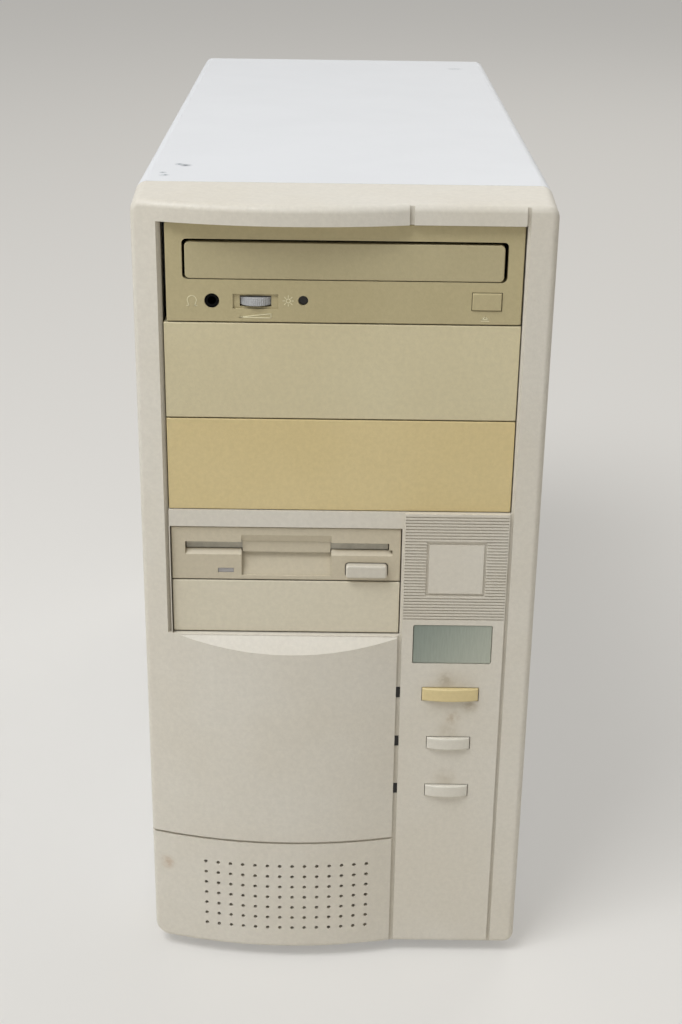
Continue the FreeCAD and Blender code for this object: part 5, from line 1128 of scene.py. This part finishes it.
@dataclass
class MainBoard:
    """Main board, processor with its fan, memory, cards and the sockets at the back."""

    edge: float = 0.2
    bracket_y: float = 197.35
    bracket_depth: float = 1.1
    port_x: float = 15.0
    face_step: float = 5.4
    flange_step: float = 0.3
    block_step: float = 1.2
    shell_step: float = 9.0
    block_inset: float = 0.9
    flange_reach: float = 7.2
    block_half: float = 3.1
    flange_half: float = 6.2
    hole_radius: float = 0.55
    hole_proud: float = 0.08
    video_z: float = 117.28
    video_shell: float = 16.6
    video_pitch: float = 2.29
    video_columns: int = 5
    video_rows: tuple[Flat, ...] = ((1.98, 0.4), (0.0, -0.4), (-1.98, 0.4))
    video_chips_over: float = -2.1
    parallel_z: float = 157.92
    parallel_shell: float = 39.0
    parallel_pitch: float = 2.76
    parallel_rows: tuple[tuple[float, int], ...] = ((1.42, 13), (-1.42, 12))
    keyboard: Flat = (66.0, 190.0)
    keyboard_circle: float = 3.5
    keyboard_angles: tuple[int, ...] = (0, 45, 90, 135, 180)
    keyboard_wider: float = 1.4
    core_near: float = 1.0

    def build(self, machine: Machine) -> None:
        """Dress the boards, and paint the ports by their regions.

        Args:
            machine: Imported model.
        """
        machine.dress(BOARD, "motherboard", "memory_modules", "switch_board")
        machine.dress(GREY, "power_switch")
        machine.dress(WHITE, "standoffs", "processor_socket")
        machine.dress(BLACK, "board_sockets", "cpu_fan_frame", "cpu_fan_rotor")
        machine.dress(CHIP, "processor")
        machine.dress(ALUMINIUM, "heat_sink")
        machine.stand_in("keyboard_socket", BLACK, self.edge, [(GREY, self.on_core)])
        up = self.video_z
        video = [
            *self.port(self.video_shell, up),
            (BLACK, within((-1, 184, up - 5.2), (31, 197, up + 5.2))),
            (CHIP, lambda place: place.z > up + self.video_chips_over),
        ]
        machine.stand_in("video_card", BOARD, 0.0, video)
        parallel = self.port(self.parallel_shell, self.parallel_z)
        machine.stand_in("parallel_port", BLACK, 0.0, parallel)
        self.hole_shades(machine)

    def on_core(self, place: Vector) -> bool:
        """Whether a place is on the keyboard socket's round core."""
        away = math.hypot(place.x - self.keyboard[0], place.z - self.keyboard[1])
        return place.y > self.bracket_y - 0.1 and away < self.core_near

    def port(self, width: float, height: float) -> list[tuple[Finish, Test]]:
        """List the finishes of a port: its inner block, its bright shell and flange, and its bracket.

        Args:
            width: Width of the shell.
            height: Height of its middle over the floor.

        Returns:
            Each finish with the test of its region, the inner one first.
        """
        x, y = self.port_x, self.bracket_y
        rows: list[tuple[Finish, Test]] = []
        for finish, half, step, tall in (
            (GREY, width / 2 - self.block_inset, self.block_step, self.block_half),
            (NICKEL, width / 2 + self.flange_reach, self.flange_step, self.flange_half),
        ):
            low = (x - half, y + step, height - tall)
            rows.append((finish, within(low, (x + half, y + self.shell_step, height + tall))))
        return [*rows, (ZINC, lambda place: place.y > y - self.bracket_depth)]

    def hole_shades(self, machine: Machine) -> None:
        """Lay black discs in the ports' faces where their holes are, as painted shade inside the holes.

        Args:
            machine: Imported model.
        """
        x, face = self.port_x, self.bracket_y + self.face_step
        across, over = self.keyboard
        display = [
            (x + (column - (self.video_columns - 1) / 2) * self.video_pitch + shift, face, self.video_z + up)
            for up, shift in self.video_rows
            for column in range(self.video_columns)
        ]
        parallel = [
            (x + (column - (count - 1) / 2) * self.parallel_pitch, face, self.parallel_z + up)
            for up, count in self.parallel_rows
            for column in range(count)
        ]
        keyboard = [
            (
                across + self.keyboard_circle * math.cos(math.radians(angle)),
                self.bracket_y,
                over + self.keyboard_circle * math.sin(math.radians(angle)),
            )
            for angle in self.keyboard_angles
        ]
        for name, places, like, wider in (
            ("display_hole_shade", display, "video_card", 1.0),
            ("parallel_hole_shade", parallel, "parallel_port", 1.0),
            ("keyboard_hole_shade", keyboard, "keyboard_socket", self.keyboard_wider),
        ):
            work = bmesh.new()
            radius = self.hole_radius * wider
            sizes = {"radius1": radius, "radius2": radius, "depth": 2 * self.hole_proud}
            for place in places:
                spot = Matrix.Translation(place) @ Facing.BACK.turn()
                bmesh.ops.create_cone(work, cap_ends=True, segments=12, matrix=spot, **sizes)
            machine.add(name, closed(work, name), BLACK_AND_HOLE_SHADE, like)


@dataclass
class Wiring:
    """Ribbon cables and the power harness."""

    switch_branch: float = 316.5
    board_branch: float = 71.0
    board_side: float = 57.0

    def build(self, machine: Machine) -> None:
        """Dress the cables; each branch of the harness has its own sleeve.

        Args:
            machine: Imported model.
        """
        machine.dress(RIBBON, "drive_ribbon", "floppy_ribbon")
        branches = [
            (WIRE_RED, lambda place: place.z > self.switch_branch),
            (WIRE_GREY, lambda place: place.y > self.board_branch or place.x > self.board_side),
        ]
        machine.stand_in("power_harness", WIRE_YELLOW, 0.0, branches)


@dataclass(frozen=True)
class Lamp:
    """Soft square lamp: centre, aim and side in metres, power in watts."""

    name: str
    place: Point
    aim: Point
    size: float
    power: float
    colour: str

    def hang(self) -> None:
        """Hang the lamp, turned to its aim."""
        light = bpy.data.lights.new(self.name, "AREA")
        light.shape = "SQUARE"
        light.size = self.size
        light.energy = self.power
        light.color = linear(self.colour)[:3]
        holder = bpy.data.objects.new(self.name, light)
        holder.location = self.place
        ahead = Vector(self.aim) - Vector(self.place)
        holder.rotation_euler = ahead.to_track_quat("-Z", "Y").to_euler()
        bpy.context.scene.collection.objects.link(holder)


LAMPS = (
    Lamp("window", (-0.8, -0.95, 2.15), (0.0, -0.05, 0.25), 1.0, 34.0, "FAFCFF"),
    Lamp("left_fill", (-1.9, -0.9, 0.6), (0.0, -0.1, 0.2), 1.4, 5.0, "F2F7FF"),
    Lamp("back_fill", (0.9, 1.9, 2.3), (0.0, 0.1, 0.2), 1.4, 15.0, "FFFDFA"),
)


@dataclass
class Studio:
    """Plain pale floor, soft lamps and the camera at the photograph's place."""

    camera_place: Point = (-0.00248, -0.86571, 0.51422)
    focal_px: float = 1634.29
    picture_height: float = 1024.0
    sensor: float = 36.0
    pitch: float = 23.0228
    yaw: float = 0.2450
    roll: float = 0.8148
    floor_half: float = 6.0
    floor_colour: str = "EAE7E1"
    air_colour: str = "F8F4EC"
    air_strength: float = 0.32
    backdrop_colour: str = "DDDCDA"
    backdrop_share: float = 0.4

    def seen(self, tree: bpy.types.NodeTree) -> Socket:
        """Find the rays that come from the camera, from gloss or through glass.

        Args:
            tree: Node tree that asks.

        Returns:
            Output that is 1 for such a ray, and 0 otherwise.
        """
        rays = add_node(tree, "LightPath")
        total = rays.outputs["Is Camera Ray"]
        for kind in ("Is Glossy Ray", "Is Transmission Ray"):
            total = add_node(tree, "Math", {0: total, 1: rays.outputs[kind]}, operation="MAXIMUM").outputs[0]
        return total

    def floor(self) -> None:
        """Lay a wide pale floor that isn't part of the machine."""
        mesh = bpy.data.meshes.new("studio_floor")
        work = bmesh.new()
        bmesh.ops.create_grid(work, x_segments=1, y_segments=1, size=self.floor_half)
        work.to_mesh(mesh)
        work.free()
        surface = Surface("studio_paper")
        paper = add_node(surface.tree, "BsdfDiffuse", {"Color": linear(self.floor_colour)})
        shine = {"Color": linear(self.backdrop_colour), "Strength": 1.0}
        glow = add_node(surface.tree, "Emission", shine)
        shares = {0: self.seen(surface.tree), 1: self.backdrop_share}
        share = add_node(surface.tree, "Math", shares, operation="MULTIPLY")
        parts = {0: share.outputs[0], 1: paper.outputs[0], 2: glow.outputs[0]}
        both = add_node(surface.tree, "MixShader", parts)
        add_node(surface.tree, "OutputMaterial", {"Surface": both.outputs[0]})
        mesh.materials.append(surface.material)
        floor = bpy.data.objects.new("studio_floor", mesh)
        bpy.context.scene.collection.objects.link(floor)

    def camera(self) -> None:
        """Set the camera where the photograph was taken."""
        pitch, yaw, roll = (math.radians(a) for a in (self.pitch, self.yaw, self.roll))
        level = math.cos(pitch)
        ahead = Vector((math.sin(yaw) * level, math.cos(yaw) * level, -math.sin(pitch)))
        right = Vector((math.cos(yaw), -math.sin(yaw), 0))
        up = right.cross(ahead)
        across = math.cos(roll) * right + math.sin(roll) * up
        above = -math.sin(roll) * right + math.cos(roll) * up
        data = bpy.data.cameras.new("photograph")
        data.sensor_fit = "VERTICAL"
        data.sensor_height = self.sensor
        data.lens = self.focal_px / self.picture_height * self.sensor
        view = bpy.data.objects.new("photograph", data)
        turn = Matrix((across, above, -ahead)).transposed()
        view.matrix_world = Matrix.Translation(self.camera_place) @ turn.to_4x4()
        bpy.context.scene.collection.objects.link(view)
        bpy.context.scene.camera = view

    def build(self) -> None:
        """Set up floor, lamps, sky and camera."""
        self.floor()
        for lamp in LAMPS:
            lamp.hang()
        world = bpy.data.worlds.new("studio_air")
        world.use_nodes = True
        tree = world.node_tree
        tree.nodes.clear()
        soft = {"Color": linear(self.air_colour), "Strength": self.air_strength}
        air = add_node(tree, "Background", soft).outputs[0]
        plain = {"Color": linear(self.backdrop_colour), "Strength": 1.0}
        backdrop = add_node(tree, "Background", plain).outputs[0]
        both = add_node(tree, "MixShader", {0: self.seen(tree), 1: air, 2: backdrop})
        add_node(tree, "OutputWorld", {"Surface": both.outputs[0]})
        bpy.context.scene.world = world
        bpy.context.scene.view_settings.view_transform = "Standard"
        self.camera()


def main() -> None:
    """Build the looks in order."""
    logging.basicConfig(level=logging.INFO)
    machine = Machine()
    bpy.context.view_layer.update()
    Studio().build()
    for assembly in (Casing(), DiscDrive(), DisketteDrive(), Chassis(), PowerSupply(), MainBoard(), Wiring()):
        LOG.info("building %s", type(assembly).__name__)
        assembly.build(machine)


if __name__ == "__main__":
    main()
